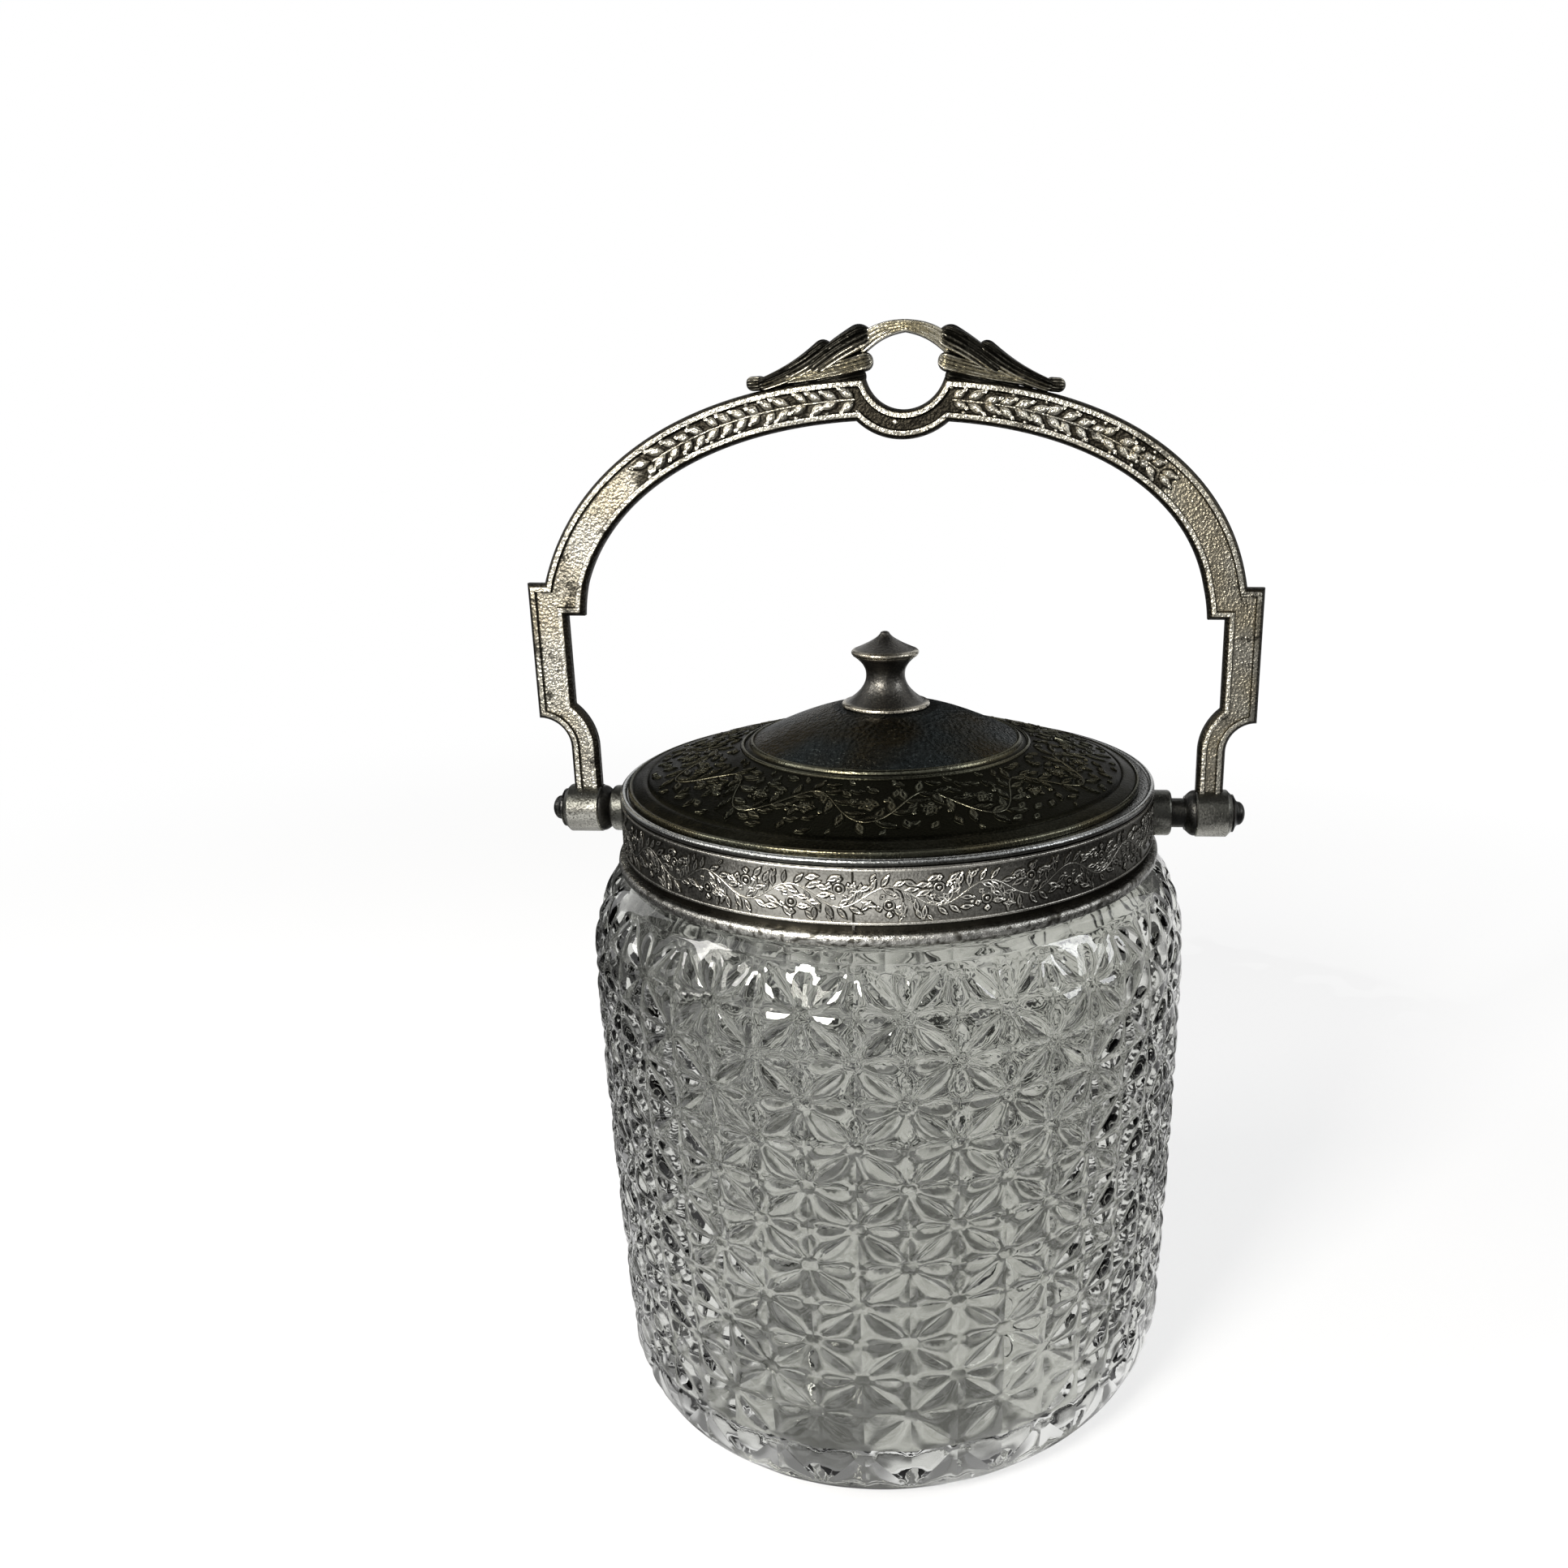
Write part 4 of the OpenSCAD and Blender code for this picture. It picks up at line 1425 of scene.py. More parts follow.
    def _on_lid(self, r: float, angle: float) -> Tuple[Vector, Vector, Vector]:
        """A place on the lid: point, direction round it and outward normal."""
        slope = (self.face(r + 0.2) - self.face(r - 0.2)) / 0.4
        out = Vector((math.cos(angle), math.sin(angle), 0.0))
        normal = (Vector((0, 0, 1)) - out * slope).normalized()
        along = Vector((-math.sin(angle), math.cos(angle), 0.0))
        at = Vector((out.x * r + self.slid, out.y * r, self.face(r))) * MM
        return at, along, normal

    def sprigs(self, motifs: Motifs) -> List[Piece]:
        """The embossed wreath on the ring: waving stem, leaves, flowers and buds.

        Args:
            motifs: the small reliefs to copy.

        Returns:
            The pieces.
        """
        made: List[Piece] = []

        def stem_at(angle: float) -> float:
            """Radius of the stem at an angle."""
            return self.wreath_r + self.wreath_swing * math.sin(self.waves * angle)

        def put(motif: Piece, r: float, angle: float, way: float, scale: Triple) -> None:
            """Copies a motif onto the lid, turned by an angle from its course."""
            low, high = self.outer_gap - self.line_r, -self.inner_gap - self.dome_r
            size = trimmed(scale[0], -r, math.sin(way), low, high)
            if size < 0.4 * scale[0]:
                return
            at, along, normal = self._on_lid(r, angle)
            course = along * math.cos(way) + normal.cross(along) * math.sin(way)
            fitted = (size, scale[1] * size / scale[0], scale[2])
            made.append(laid(motif, at, course, normal, fitted))

        count = 16 * self.waves
        ring = [math.tau * i / count for i in range(count + 1)]
        made.append(wire("lid_stem", [self._on_lid(stem_at(a), a)[0] for a in ring], self.stem_r))
        count = self.leaves_a_wave * self.waves
        for index in range(count):
            angle = (index + 0.5) * (math.tau / count)
            r = stem_at(angle)
            slope = math.atan2(-(stem_at(angle + 0.01) - stem_at(angle - 0.01)), 0.02 * r)
            for side in (1, -1):
                jitter = noise.noise(Vector((angle * 9.0, 4.2 * side, 0.0)))
                way = slope + side * (0.75 + 0.3 * jitter)
                put(motifs.leaf, r, angle, way, (self.leaf_l + 1.2 * jitter, 5.6, self.relief))
                for tier in (5.2, 9.4):
                    out = r - side * (tier + 1.2 * jitter)
                    if self.dome_r + 2.6 < out < self.line_r - 1.4:
                        way = 2.2 * side + 3.0 * jitter
                        put(motifs.leaf, out, angle + 0.02 * side, way, (3.6, 5.2, self.relief))
        for index in range(self.waves):
            for share, side in ((0.25, -1), (0.75, 1)):
                angle = (index + share) * math.tau / self.waves
                r = stem_at(angle) + side * self.rose_off
                at, along, normal = self._on_lid(r, angle)
                made.append(laid(motifs.rosette, at, along, normal, (3.4, 3.4, 1.1)))
                made.extend(motifs.flower(at, along, normal, self.rose_w, self.relief))
                for drift in (-1, 1):
                    turn = drift * 4.4 / r
                    put(motifs.leaf, r, angle + turn, 0.5 * drift + 1.2, (3.2, 4.4, self.relief))
                    put(motifs.berry, r + side * 1.4, angle + turn * 0.75, 0.0, (1.1, 1.1, 0.7))
        return made

    def build(self, motifs: Motifs) -> None:
        """Builds and dresses the lid.

        Args:
            motifs: the small reliefs to copy.
        """
        metal = LID.material()
        dress(self.ring(), "lid", metal, ["lid_plate"])
        dress(self.dome(), "lid", DOME.material())
        dress(joined("lid_sprigs", self.sprigs(motifs)), "lid", metal)


@dataclass
class Finial:
    """The turned knob."""

    foot_z: float = 153.395
    slid: float = -0.8
    foot_r: float = 9.4
    waist_r: float = 4.15
    disc_r: float = 7.2
    foot_h: float = 0.8
    stem_h: float = 5.9
    throat_h: float = 4.2
    disc_h: float = 1.2
    cap_h: float = 3.9

    def section(self) -> List[Point2]:
        """Closed section from the middle of the foot out and up to the tip."""
        top = self.foot_z + self.foot_h
        waist = top + self.stem_h
        disc = waist + self.throat_h
        cap = disc + self.disc_h
        points: List[Point2] = [(0.0, self.foot_z), (self.foot_r - 0.15, self.foot_z)]
        points += [(self.foot_r, self.foot_z + 0.15), (self.foot_r, top - 0.25), (self.foot_r - 0.2, top)]
        flare, spread = self.foot_r - 0.7 - self.waist_r, self.disc_r - 0.3 - self.waist_r
        for t in (i / 24 for i in range(1, 25)):
            points.append((self.waist_r + flare * (1 - t) ** 2.1, top + self.stem_h * t))
        for t in (i / 16 for i in range(1, 17)):
            points.append((self.waist_r + spread * t**2.2, waist + self.throat_h * t))
        points += arc((self.disc_r - 0.6, disc + self.disc_h / 2), (0.6, 0.6), range(-60, 61, 20))
        for t in (i / 16 for i in range(17)):
            points.append((0.9 + (self.disc_r - 1.3) * (1 - t) ** 1.5, cap + (self.cap_h - 0.25) * t))
        points += [(0.6, cap + self.cap_h - 0.08), (0.3, cap + self.cap_h - 0.02)]
        points.append((0.0, cap + self.cap_h))
        return points

    def build(self) -> None:
        """Builds and dresses the knob."""
        piece = turned("finial_body", self.section(), 96, 0.0)
        top = self.foot_z + self.foot_h

        def height(co: Vector) -> float:
            """Bright at the foot's edge and on the disc, dark elsewhere."""
            z, r = co.z / MM, math.hypot(co.x, co.y) / MM
            edge = 0.9 if z < top + 0.2 and r > self.foot_r - 1 else 0.0
            return max(edge, 0.25 + 0.5 * (r > self.disc_r - 0.8 and z > top + 3))

        store_relief(piece, height)
        piece.data.transform(Matrix.Translation((self.slid * MM, 0, 0)))
        dress(smooth(piece, 40.0), "lid", TURNED.material(), ["finial"])


# The handle


@dataclass(frozen=True)
class CrestLeaf:
    """Place and form of a crest leaf, in millimetres from the ring's centre.

    Attributes:
        root: its outer end.
        tip: its inner end.
        root_half: half its width at the root.
        tip_half: half its width at the tip.
        thick: its thickness as a share of the handle's leaf_t.
        bow: how far its middle bends up.
        tone: how bright it is coloured, from 0 to 1: partly wear, partly painted light and shade.
        shade: painted shade, a change of tone from its middle to its upper edge.
    """

    root: Point2
    tip: Point2
    root_half: float
    tip_half: float
    thick: float
    bow: float
    tone: float
    shade: float

    @staticmethod
    def cap(distance: float, radius: float) -> float:
        """Share of the full width at a distance from a round end."""
        return math.sqrt(max(0.0, 1 - max(0.0, 1 - distance / radius) ** 2))


# The tone and shade columns paint light and shade; the two thin leaves lying underneath are nearly black, as
# painted shadow.
CREST_LEAVES = (
    CrestLeaf((32.1, -3.5), (27.9, -3.2), 1.45, 1.4, 0.80, 0.0, 0.30, 0.2),
    CrestLeaf((24.5, -2.6), (6.5, 1.4), 0.9, 2.0, 0.92, -0.3, 0.58, -0.1),
    CrestLeaf((29.7, -3.9), (14.6, 4.0), 1.2, 2.5, 1.02, -0.8, 0.27, -0.4),
    CrestLeaf((19.3, -1.0), (6.6, 6.6), 1.7, 2.85, 1.08, 0.5, 0.20, -0.4),
    CrestLeaf((9.7, 3.4), (-1.3, 7.9), 1.9, 1.2, 0.90, 1.15, 0.85, 0.0),
    CrestLeaf((23.0, -4.4), (7.9, -1.6), 1.2, 1.7, 0.62, 0.0, 0.02, 0.0),
    CrestLeaf((26.5, -3.2), (8.2, 3.2), 1.2, 2.6, 0.50, 0.0, 0.02, 0.0),
)


@dataclass(frozen=True)
class ArchCurve:
    """One edge of the arch, a rounded curve over a level line.

    Attributes:
        half: its half-width, in millimetres.
        base: height of the line above the pivots.
        top: height of its top above the pivots.
        power: how square it is, where 2 is an ellipse.
    """

    half: float
    base: float
    top: float
    power: float

    def height(self, x: float) -> float:
        """Its height at a place along the arch."""
        share = min(1.0, abs(x) / self.half)
        rise = (1 - share**self.power) ** (1 / self.power)
        return self.base + (self.top - self.base) * rise

    def width(self, h: float) -> float:
        """Its half-width at a height."""
        share = (h - self.base) / (self.top - self.base)
        return self.half * (1 - share**self.power) ** (1 / self.power)


@dataclass
class Handle:
    """The cast handle: channelled frame, ring, leaf crest, eyes, bushes and screws."""

    pivot_z: float = 129.695
    slid: float = 1.45
    arch_bend: float = 2.8
    thickness: float = 3.6
    stem_in: float = 65.0
    stem_out: float = 70.9
    bar_out: float = 77.3
    bar_w: float = 7.9
    foot_h: float = 20.4
    top_h: float = 49.4
    inside_h: float = 42.6
    step_w: float = 3.6
    arch_out_h: float = 91.1
    arch_in_h: float = 82.7
    arch_out_base: float = 34.5
    arch_in_base: float = 39.3
    arch_out_power: float = 2.3
    arch_in_power: float = 2.2
    bevel_w: float = 0.9
    rim_w: float = 0.75
    channel_d: float = 0.75
    ring_h: float = 93.0
    hole_r: float = 8.2
    ring_w: float = 5.9
    leaf_t: float = 4.6
    laurel_from: float = 9.8
    laurel_to: float = 53.5
    laurel_step: float = 3.1
    laurel_l: float = 4.8
    laurel_room: float = 2.75
    laurel_lean: float = 0.50
    lean_limits: Point2 = (0.28, 0.78)
    laurel_stem_r: float = 0.28
    eye_in: float = 65.0
    eye_r: float = 5.2
    eye_len: float = 7.9
    bush_len: float = 2.2
    pin_r: float = 3.2
    hole_gap: float = 0.06
    head_len: float = 3.0
    head_gap: float = 0.15
    screw_in: float = 57.3

    def shift(self, h: float) -> float:
        """Sideways place of the bent frame at a height above the pivots."""
        bend = self.arch_bend * max(0.0, h - self.top_h) / (self.ring_h - self.top_h)
        return self.slid + bend

    def spot(self, x: float, depth: float, h: float) -> Vector:
        """A point of the bent frame.

        Args:
            x: sideways from the frame's middle line, in millimetres.
            depth: its y.
            h: height above the pivots.

        Returns:
            The point, in metres.
        """
        return Vector((x + self.shift(h), depth, h + self.pivot_z)) * MM

    @property
    def bar_in(self) -> float:
        """Inner side of the upright bars."""
        return self.bar_out - self.bar_w

    @property
    def outer(self) -> ArchCurve:
        """The arch's outer edge."""
        half = self.bar_out - self.step_w + 1.4
        return ArchCurve(half, self.arch_out_base, self.arch_out_h, self.arch_out_power)

    @property
    def inner(self) -> ArchCurve:
        """The arch's inner edge."""
        half = self.bar_in - self.step_w
        return ArchCurve(half, self.arch_in_base, self.arch_in_h, self.arch_in_power)

    def edges(self) -> Tuple[List[Point2], List[Point2]]:
        """Right half of the frame's two edges, point by point across from each other.

        Returns:
            The outside, from the eye up to the bottom of the finger hole, and the inside,
            from the eye up to the underside of the ring.
        """
        turn = math.acos(self.bar_w / (self.bar_out - self.stem_in))
        return (
            self._edge(self.stem_out, math.pi / 2, self.top_h, self.outer, self.hole_r),
            self._edge(self.stem_in, turn, self.inside_h, self.inner, self.hole_r + self.ring_w),
        )

    def _edge(
        self, stem: float, turn: float, top_h: float, curve: ArchCurve, reach: float
    ) -> List[Point2]:
        """Right half of one edge of the frame, from the eye up and in.

        Args:
            stem: its distance from the middle line at the eye.
            turn: angle of the bend from the stem out to the upright bar.
            top_h: height of the bar's end.
            curve: its course along the arch.
            reach: its radius round the ring's centre.

        Returns:
            The points.
        """
        bend = self.bar_out - stem
        bend_h = self.foot_h - (self.bar_out - self.stem_out)
        points: List[Point2] = [(stem, 3.5 + i * (bend_h - 3.5) / 4) for i in range(4)]
        for a in (math.pi - turn * i / 12 for i in range(13)):
            points.append((self.bar_out + bend * math.cos(a), bend_h + bend * math.sin(a)))
        bar = self.bar_out if curve == self.outer else self.bar_in
        foot = points[-1][1]
        points += [(bar, foot + (top_h - foot) * i / 8) for i in range(1, 9)]
        spring = curve.width(top_h)
        last = self._arch_end(spring, curve, reach)
        for x in (spring * math.cos(last * i / 72) for i in range(73)):
            points.append((x, curve.height(x)))
        start = math.atan2(points[-1][1] - self.ring_h, points[-1][0])
        for a in (start + (-math.pi / 2 - start) * i / 24 for i in range(1, 25)):
            points.append((reach * math.cos(a), self.ring_h + reach * math.sin(a)))
        return points

    def _arch_end(self, spring: float, curve: ArchCurve, reach: float) -> float:
        """Angle along an arch edge at which it comes within reach of the ring's centre."""
        low, high = 0.0, math.pi / 2
        for _ in range(40):
            middle = (low + high) / 2
            x = spring * math.cos(middle)
            if math.hypot(x, curve.height(x) - self.ring_h) > reach:
                low = middle
            else:
                high = middle
        return low

    def frame_piece(self) -> Piece:
        """The frame: a bar lofted from eye to eye, with a channel along both faces."""
        halves = self.edges()
        outside, inside = (
            [Vector((x, h)) for x, h in half] + [Vector((-x, h)) for x, h in reversed(half[:-1])]
            for half in halves
        )
        face, edge = self.thickness / 2, self.bevel_w + self.rim_w
        depths = [
            (0.0, 0.35), (0.0, face - 1.1), (0.3 * self.bevel_w, face - 0.5),
            (0.75 * self.bevel_w, face - 0.12), (self.bevel_w, face), (edge, face - 0.02),
            (edge + 0.12, face - 0.16), (edge + 0.35, face - self.channel_d),
        ]
        outer_rails = [inset_line(outside, width) for width, _ in depths]
        inner_rails = [inset_line(inside, -width) for width, _ in depths]
        levels = [depth for _, depth in depths]
        sections = []
        for place in range(len(outside)):
            front = [(rail[place], depth) for rail, depth in zip(outer_rails, levels)]
            front += [
                (rail[place], depth) for rail, depth in zip(reversed(inner_rails), reversed(levels))
            ]
            loop = [(spot, -depth) for spot, depth in front]
            loop += [(spot, depth) for spot, depth in reversed(front)]
            sections.append([self.spot(at.x, depth, at.y) for at, depth in loop])
        piece = lofted("handle_frame", sections)

        def height(co: Vector) -> float:
            """Bright on the rims, middling in the channel, dark on the sides and bevels as painted shade."""
            depth = face - abs(co.y) / MM
            h = co.z / MM - self.pivot_z
            x = abs(co.x / MM - self.shift(h))
            if depth < 0.1:
                return 0.62 if h < self.top_h - 1.0 and x > self.bar_out - 2.2 else 1.0
            # Painted shade: the sides and bevels stay dark, as do the channel's walls.
            if abs(depth - self.channel_d) > 0.05:
                return 0.0
            if math.hypot(x, h - self.ring_h) < self.hole_r + self.ring_w:
                return 0.12
            return 0.20 if x < 54.0 and h > 62.0 else 0.66

        store_relief(piece, height)
        return smooth(piece, 30.0)

    def _channel(self, x: float) -> Tuple[Point2, float]:
        """Middle of the arch's channel.

        Args:
            x: place along the arch.

        Returns:
            The point and the angle of the course there.
        """

        def middle(at: float) -> float:
            """Height midway between the arch's edges."""
            return (self.outer.height(at) + self.inner.height(at)) / 2

        slope = math.atan2(middle(x + 0.1) - middle(x - 0.1), 0.2)
        return (x, middle(x)), slope

    def sprigs(self, motifs: Motifs) -> List[Piece]:
        """Laurel sprigs with berries in the channel, on both faces and both sides.

        Args:
            motifs: the small reliefs to copy.

        Returns:
            The pieces.
        """
        made: List[Piece] = []
        for face in (-1, 1):
            for side in (-1, 1):
                made += self._sprig(motifs, face, side)
            depth = self.thickness / 2 - self.channel_d + 0.15
            pip = self.spot(-1.5, face * depth, self.ring_h - 10.7)
            ahead, normal = Vector((1, 0, 0)), Vector((0, face, 0))
            made.append(laid(motifs.berry, pip, ahead, normal, (1.1, 1.1, 0.5)))
        return made

    def _sprig(self, motifs: Motifs, face: int, side: int) -> List[Piece]:
        """One laurel sprig.

        Args:
            motifs: the small reliefs to copy.
            face: -1 front, 1 back.
            side: -1 left, 1 right.

        Returns:
            Its leaves and berries, and last its stem.
        """
        made, course = [], []
        normal = Vector((0, face, 0))
        x, step = self.laurel_from, 0
        while x < self.laurel_to:
            (cx, ch), slope = self._channel(x)
            at = self.spot(side * cx, face * (self.thickness / 2 - self.channel_d), ch)
            along = Vector((side * math.cos(slope), 0, math.sin(slope)))
            across = Vector((-along.z, 0, along.x))
            course.append(at)
            jitter = noise.noise(Vector((x, 7.0 * face, 3.0 * side)))
            for turn in (1, -1):
                drift = 0.9 * noise.noise(Vector((x * 0.8, 2.0 * turn, 9.0 * side)))
                lean = max(self.lean_limits[0], min(self.lean_limits[1], self.laurel_lean + drift))
                size = min(self.laurel_l + 2.4 * jitter, self.laurel_room / math.sin(lean))
                way = along * math.cos(lean) + across * turn * math.sin(lean)
                start = at + across * turn * 0.15 * MM
                made.append(laid(motifs.laurel, start, way, normal, (size, 5.2, 0.86)))
                if (step + (turn > 0)) % 2:
                    spot = start + (along * -0.3 + across * turn * 2.25) * MM
                    made.append(laid(motifs.berry, spot, way, normal, (1.0, 1.0, 1.0)))
            x += (self.laurel_step + 1.2 * jitter) * math.cos(slope)
            step += 1
        return [*made, wire("laurel_stem", course, self.laurel_stem_r)]

    def crest_leaf(self, leaf: CrestLeaf, side: int) -> Piece:
        """One leaf of the crest: a blunt, swollen blade with fine ribs along it.

        Args:
            leaf: its place and form.
            side: -1 left, 1 right.

        Returns:
            The piece.
        """
        size = {"segments": 72, "ring_count": 36, "radius": 1.0}
        piece = primitive("uv_sphere", "crest_leaf", **size)
        start, along = Vector(leaf.root), Vector(leaf.tip) - Vector(leaf.root)
        across = Vector((along.y, -along.x)).normalized()
        trait = piece.data.attributes.new("relief", "FLOAT", "POINT")
        for vertex, stored in zip(piece.data.vertices, trait.data):
            co = vertex.co
            t = (1 + co.z) / 2
            ring = math.hypot(co.x, co.y)
            v, w = (co.x / ring, co.y / ring) if ring > 1e-6 else (0.0, 0.0)
            width = leaf.root_half + (leaf.tip_half - leaf.root_half) * t
            ends = leaf.cap(t * along.length, leaf.root_half)
            ends *= leaf.cap((1 - t) * along.length, leaf.tip_half)
            ribs = math.cos(math.tau * 2.6 * v * (0.8 + 0.35 * t)) * ends
            deep = self.leaf_t * leaf.thick / 2 * ends**0.7 * (0.91 + 0.09 * ribs)
            reach = math.copysign(abs(v) ** 0.9, v) * width * ends
            spot = start + along * t + across * (reach + leaf.bow * math.sin(math.pi * t))
            h = spot.y + self.ring_h
            x = side * spot.x + self.shift(self.ring_h)
            depth = -math.copysign(abs(w) ** 0.4, w) * deep
            vertex.co = Vector((x, depth, h + self.pivot_z)) * MM
            # Painted light and shade: the leaf's tone and shade set its brightness, and its colour darkens
            # to black along its rim.
            edge_shade_factor = min(1.0, abs(w) * 1.6)
            stored.value = max(0.0, leaf.tone + leaf.shade * v + 0.22 * ribs) * edge_shade_factor
        clean(piece)
        return smooth(piece, 70.0)

    def crest(self) -> List[Piece]:
        """All leaves of the crest."""
        return [self.crest_leaf(leaf, side) for side in SIDES for leaf in CREST_LEAVES]

    def eye(self, side: int) -> Piece:
        """The barrel at the handle's foot."""
        hole, out, low, end = self.pin_r + self.hole_gap, self.eye_r, self.eye_in, self.eye_in + self.eye_len
        section = [(hole, low), (out - 0.25, low), (out, low + 0.25), (out, end - 1.1)]
        section += [(out - 0.12, end - 0.9), (0.8 * out, end), (hole, end)]
        piece = turned(f"handle_eye_{SIDES[side]}", section, 96, 0.0)
        on_pivot(piece, side, self.pivot_z, self.slid)
        store_relief(piece, self._eye_height)
        return smooth(piece, 30.0)

    def _eye_height(self, co: Vector) -> float:
        """Painted light and shade of an eye: bright below and dark above, broken by random grain."""
        low = (self.pivot_z - co.z / MM) / self.eye_r
        return unit(0.5 + 0.55 * low + 0.5 * noise.noise(co * 350.0))

    def bush(self, side: int) -> Piece:
        """The smooth cone between the lug and the eye."""
        hole, narrow = self.pin_r + self.hole_gap, 3.7
        low, high = self.eye_in - self.bush_len, self.eye_in
        section = [(hole, low), (self.pin_r + 0.55, low)]
        for t in (i / 10 for i in range(11)):
            bulge = narrow + (self.eye_r - 0.2 - narrow) * math.sin(math.pi / 2 * t)
            section.append((bulge, low + 0.1 + (high - low - 0.2) * t))
        section += [(self.eye_r - 0.35, high), (hole, high)]
        piece = turned(f"handle_bush_{SIDES[side]}", section, 64, 0.0)
        on_pivot(piece, side, self.pivot_z, self.slid)
        store_relief(piece, lambda co: 0.25 + 0.3 * noise.noise(co * 350.0))
        return smooth(piece, 40.0)

    def screw(self, side: int) -> Piece:
        """The pivot screw, with its domed head."""
        seat = self.eye_in + self.eye_len + side * self.slid + self.head_gap
        r, neck = self.eye_r, 1.45
        section: List[Point2] = [(0.0, self.screw_in), (self.pin_r, self.screw_in), (self.pin_r, seat)]
        section += [(0.8 * r, seat), (0.8 * r, seat + 0.3)]
        for t in (i / 8 for i in range(1, 9)):
            section.append((0.8 * r - 0.3 * r * math.sin(math.pi / 2 * t), seat + 0.3 + 1.15 * t))
        section += arc((0.0, seat + neck), (0.5 * r, self.head_len - neck), range(10, 91, 10))
        piece = turned(f"pivot_screw_{SIDES[side]}_body", section, 64, 0.0)
        on_pivot(piece, side, self.pivot_z)
        store_relief(piece, lambda co: 0.3 + 0.6 * noise.noise(co * 300.0))
        return smooth(piece, 40.0)

    def build(self, motifs: Motifs) -> None:
        """Builds and dresses the handle.

        Args:
            motifs: the small reliefs to copy.
        """
        cast, barrel, knob = CAST.material(), BARREL.material(), KNOB.material()
        dress(self.frame_piece(), "bail", cast, ["bail_frame"])
        dress(joined("handle_laurel", self.sprigs(motifs)), "bail", cast)
        crest = CREST.material()
        dress(joined("handle_crest", self.crest()), "bail", crest, ["bail_crest"])
        for side, name in SIDES.items():
            dress(self.eye(side), "bail", barrel, [f"bail_eye_{name}"])
            dress(self.bush(side), "bail", knob, [f"pivot_bush_{name}"])
            dress(self.screw(side), "jar", knob, [f"pivot_screw_{name}"])


# Hidden pieces, stage, light and camera


def dress_hidden() -> None:
    """Gives the nodes that stay their finishes."""
    brass, aged = BRASS.material(), KNOB.material()
    finishes = {"plaster_bed": PLASTER.material(), "lid_flange": aged}
    finishes.update(dict.fromkeys(("finial_stud", "finial_washer", "finial_nut"), brass))
    for node, finish in finishes.items():
        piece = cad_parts[node]
        piece.data.materials.clear()
        piece.data.materials.append(finish)
        LOG.info("%s: kept, refinished", node)


@dataclass(frozen=True)
class Lamp:
    """A soft square lamp aimed at the jar.

    Attributes:
        name: its name.
        place: where it stands, in metres.
        size: its side, in metres.
        power: in watts.
        colour: its colour.
    """

    name: str
    place: Triple
    size: float
    power: float
    colour: Colour

    def add(self) -> None:
        """Adds the lamp to the scene."""
        data = bpy.data.lights.new(self.name, "AREA")
        data.size = self.size
        data.energy = self.power
        data.color = self.colour
        lamp = linked(self.name, data)
        aim = Vector(LAMP_AIM) - Vector(self.place)
        lamp.location = self.place
        lamp.rotation_euler = aim.to_track_quat("-Z", "Y").to_euler()


LAMPS = (
    Lamp("front_lamp", (-0.27, -0.46, 0.42), 0.16, 5.0, (1.0, 0.97, 0.92)),
    Lamp("left_lamp", (-0.9, -0.25, 0.7), 0.4, 5.0, (1.0, 0.98, 0.95)),
    Lamp("right_lamp", (0.9, -0.1, 0.6), 0.4, 4.0, (0.95, 0.97, 1.0)),
)


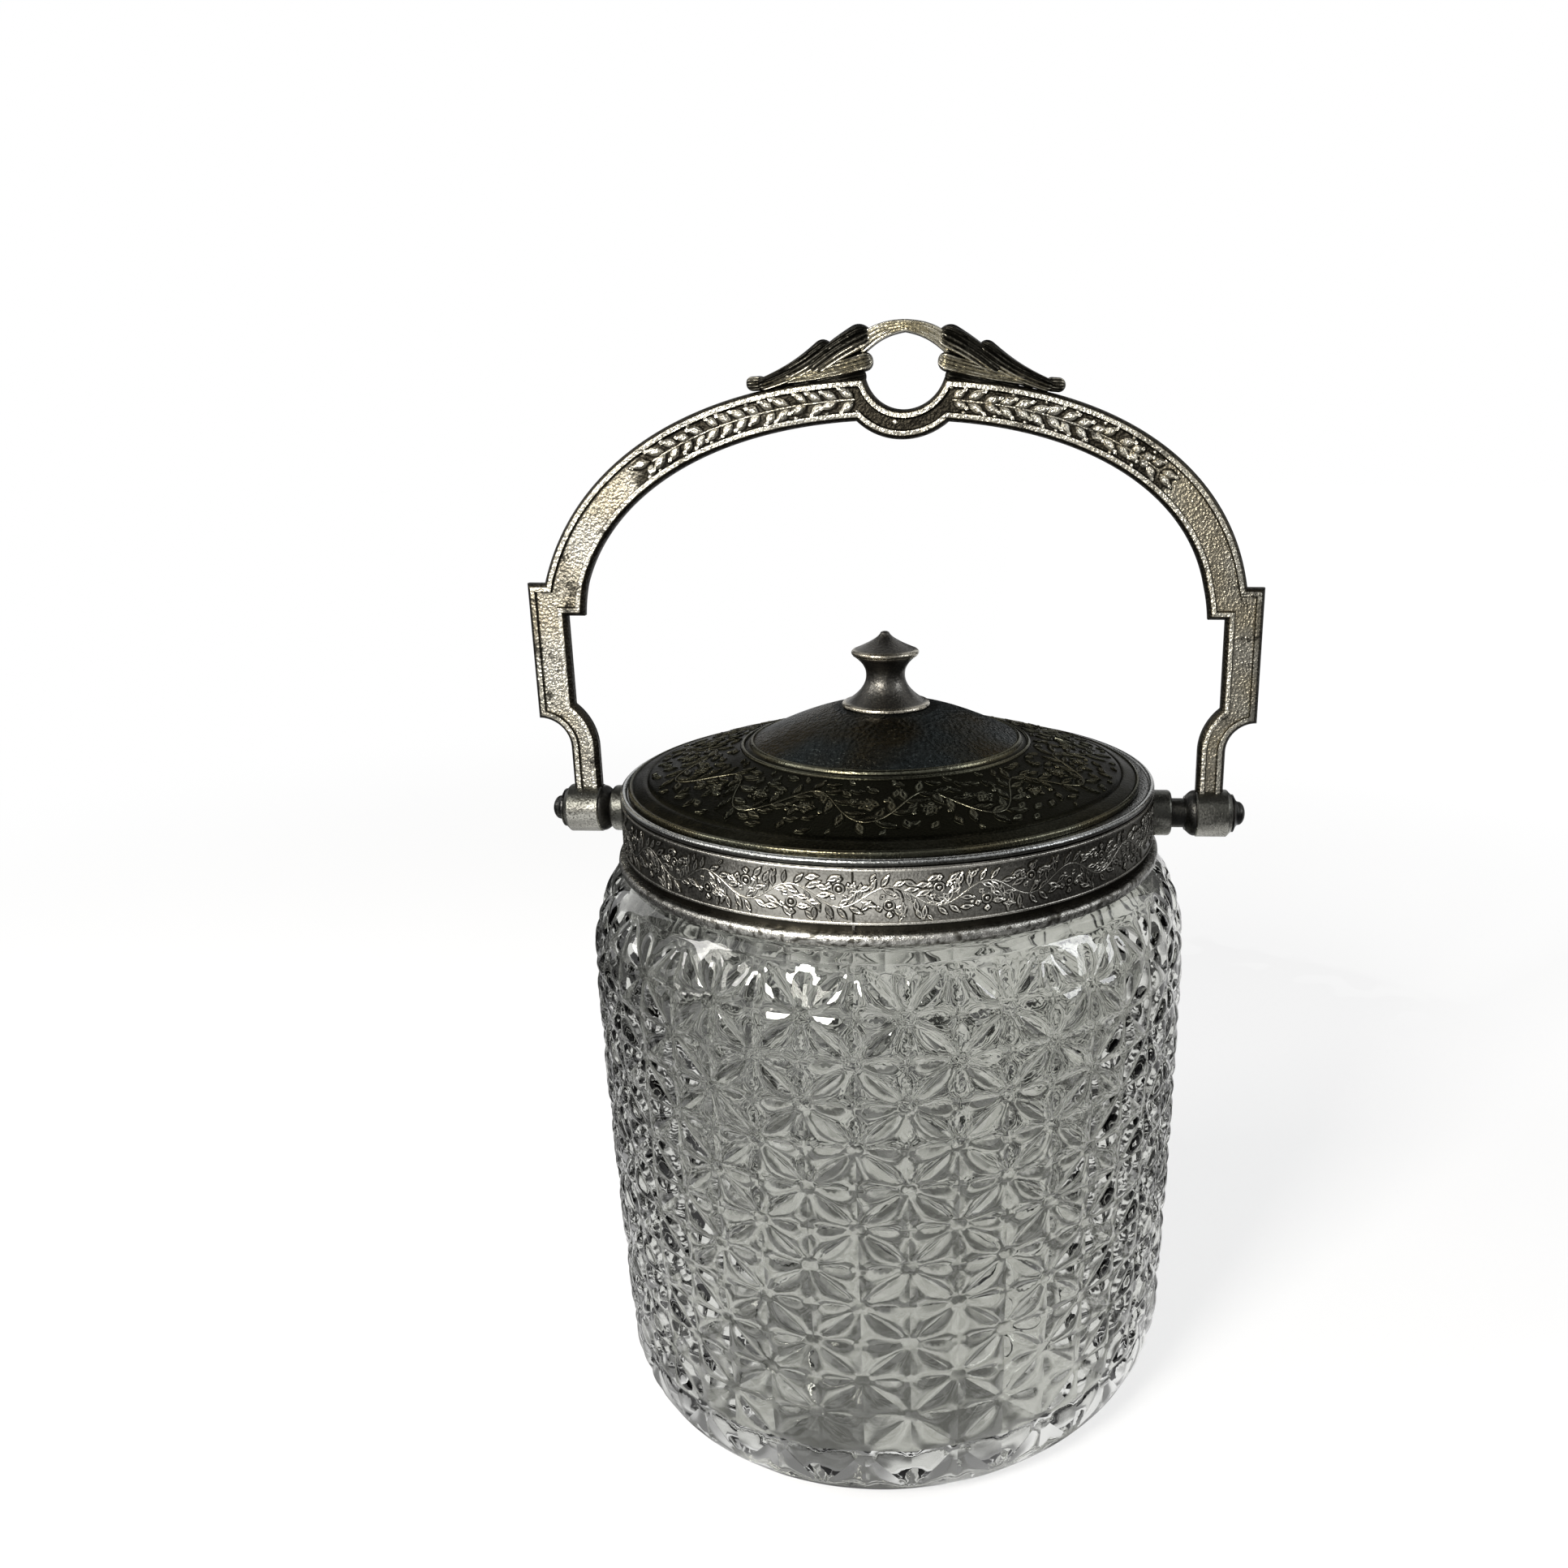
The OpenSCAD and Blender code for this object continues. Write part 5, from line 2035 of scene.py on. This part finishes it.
@dataclass
class Studio:
    """A pale floor and world, dark flags for the metal and glass, and soft lamps."""

    ambient: float = 0.40
    floor_r: float = 4.0
    flag_r: float = 0.62
    flag_top: float = 0.75
    flag_count: int = 9
    flag_fill: float = 0.55
    flag_haze: float = 0.10
    roof_r: float = 0.55
    roof_z: float = 0.95
    glow_deg: float = -115.0
    under_mm: Point2 = (95.0, 60.0)
    beyond_mm: Point2 = (190.0, 270.0)
    plain_mm: Point2 = (260.0, 700.0)

    @staticmethod
    def _seen(graph: Graph) -> Tuple[Term, Term]:
        """Whether a ray comes straight from the camera, and whether off or through a piece."""
        path = graph.node("ShaderNodeLightPath")
        camera, glossy, through = (
            Term(graph, path.outputs[f"Is {kind} Ray"]) for kind in ("Camera", "Glossy", "Transmission")
        )
        return camera, glossy.at_least(through)

    def _world(self) -> None:
        """White where it is seen, mirrored or seen through glass, and dimmer as a light."""
        graph = Graph("studio", world=True)
        camera, other = self._seen(graph)
        strength = camera.at_least(other) * (1.0 - self.ambient) + self.ambient
        inputs = {"Color": WHITE, "Strength": strength}
        bpy.context.scene.world = graph.close(graph.node("ShaderNodeBackground", inputs=inputs))

    def _floor(self) -> None:
        """A wide pale floor that keeps the shadow, and is patchy where glass shows it."""
        size = {"vertices": 64, "radius": self.floor_r}
        floor = primitive("circle", "studio_floor", fill_type="NGON", **size)
        graph = Graph("studio_floor")
        camera, other = self._seen(graph)
        x, y = graph.axis("X"), graph.axis("Y")
        away = (x * x + y * y) ** 0.5
        lean = math.radians(self.glow_deg)
        ahead = ((x * math.cos(lean) + y * math.sin(lean)) / away).size()
        patches = graph.grain(24.0, 1.0, 0.4).between(0.43, 0.58)
        under = away.between(*self.under_mm)
        near = patches * (1.0 - under * 0.30) + under * 0.22
        far = graph.grain(70.0, 2.0, 0.45).between(0.50, 0.62) * 0.35
        glow = far.at_least(ahead.between(0.62, 0.95))
        beyond = away.between(*self.beyond_mm)
        mirrored = near * 0.95 * (1.0 - beyond) + glow * beyond + 0.035
        strength = camera.at_least(mirrored)
        plain = away.between(*self.plain_mm) * 0.3 + 0.7
        lit = graph.node("ShaderNodeBsdfDiffuse", inputs={"Color": (0.9, 0.9, 0.9, 1.0)})
        bright = graph.node("ShaderNodeEmission", inputs={"Color": WHITE, "Strength": strength})
        shown = graph.mixed((camera * plain).at_least(other), lit, bright)
        floor.data.materials.append(graph.close(shown))

    def _flag(self, name: str, corners: Sequence[Vector]) -> None:
        """A card that only reflections and glass show: black to metal, grey through glass.

        Args:
            name: its name.
            corners: its corners, in metres.
        """
        card = section_ring(name, corners)
        with editing(card):
            bpy.ops.mesh.edge_face_add()
        graph = Graph(name)
        cloth = graph.node("ShaderNodeBsdfDiffuse", inputs={"Color": (0.02, 0.02, 0.02, 1.0)})
        haze = graph.node("ShaderNodeEmission", inputs={"Color": WHITE, "Strength": self.flag_haze})
        through = graph.term("ShaderNodeLightPath", "Is Transmission Ray")
        card.data.materials.append(graph.close(graph.mixed(through, cloth, haze)))
        card.visible_camera = False
        card.visible_diffuse = False
        card.visible_shadow = False

    def _flags(self) -> None:
        """Upright flags all round, with gaps between them, and one overhead."""
        lift = Vector((0.0, 0.0, self.flag_top))
        half = math.pi / self.flag_count * self.flag_fill
        for index in range(self.flag_count):
            middle = -math.pi / 2 + math.tau * (index + 0.5) / self.flag_count
            left, right = (
                Vector((math.cos(a) * self.flag_r, math.sin(a) * self.flag_r, 0.0))
                for a in (middle - half, middle + half)
            )
            self._flag(f"flag_{index}", [left, right, right + lift, left + lift])
        roof = arc((0.0, 0.0), (self.roof_r, self.roof_r), range(0, 360, 15))
        self._flag("flag_roof", [Vector((x, y, self.roof_z)) for x, y in roof])

    def build(self) -> None:
        """Sets the stage."""
        self._world()
        self._floor()
        self._flags()
        for lamp in LAMPS:
            lamp.add()


@dataclass(frozen=True)
class Viewpoint:
    """The camera: wide, a little above the lid, looking down at the jar."""

    place: Triple = (0.02439, -0.27094, 0.21385)
    yaw_deg: float = 1.06
    pitch_deg: float = 16.06
    roll_deg: float = 0.22
    sensor_width: float = 36.0
    lens: float = 29.6
    shift_x: float = -0.1247
    clip: Point2 = (0.01, 20.0)

    def add(self) -> None:
        """Adds the camera to the scene."""
        yaw, pitch, roll = map(math.radians, (self.yaw_deg, self.pitch_deg, self.roll_deg))
        level = Vector((math.cos(yaw), math.sin(yaw), 0.0))
        ahead = Vector((-math.sin(yaw), math.cos(yaw), 0.0))
        forward = ahead * math.cos(pitch) - Vector((0.0, 0.0, math.sin(pitch)))
        upright = level.cross(forward)
        right = level * math.cos(roll) + upright * math.sin(roll)
        up = upright * math.cos(roll) - level * math.sin(roll)
        data = bpy.data.cameras.new("camera")
        data.sensor_fit = "HORIZONTAL"
        data.sensor_width = self.sensor_width
        data.lens = self.lens
        data.shift_x = self.shift_x
        data.clip_start, data.clip_end = self.clip
        camera = linked("camera", data)
        turn = Matrix((right, up, -forward)).transposed().to_4x4()
        camera.matrix_world = Matrix.Translation(self.place) @ turn
        bpy.context.scene.camera = camera


def main() -> None:
    logging.basicConfig(level=logging.INFO, format="%(name)s: %(message)s")
    bpy.context.scene.view_settings.view_transform = "Standard"
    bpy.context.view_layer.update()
    Viewpoint().add()
    Studio().build()
    motifs = Motifs()
    PressedGlass().build(PressedGlassFinish().material())
    Collar().build(motifs)
    Lid().build(motifs)
    Finial().build()
    Handle().build(motifs)
    motifs.discard()
    dress_hidden()
    select_only()


if __name__ == "__main__":
    main()
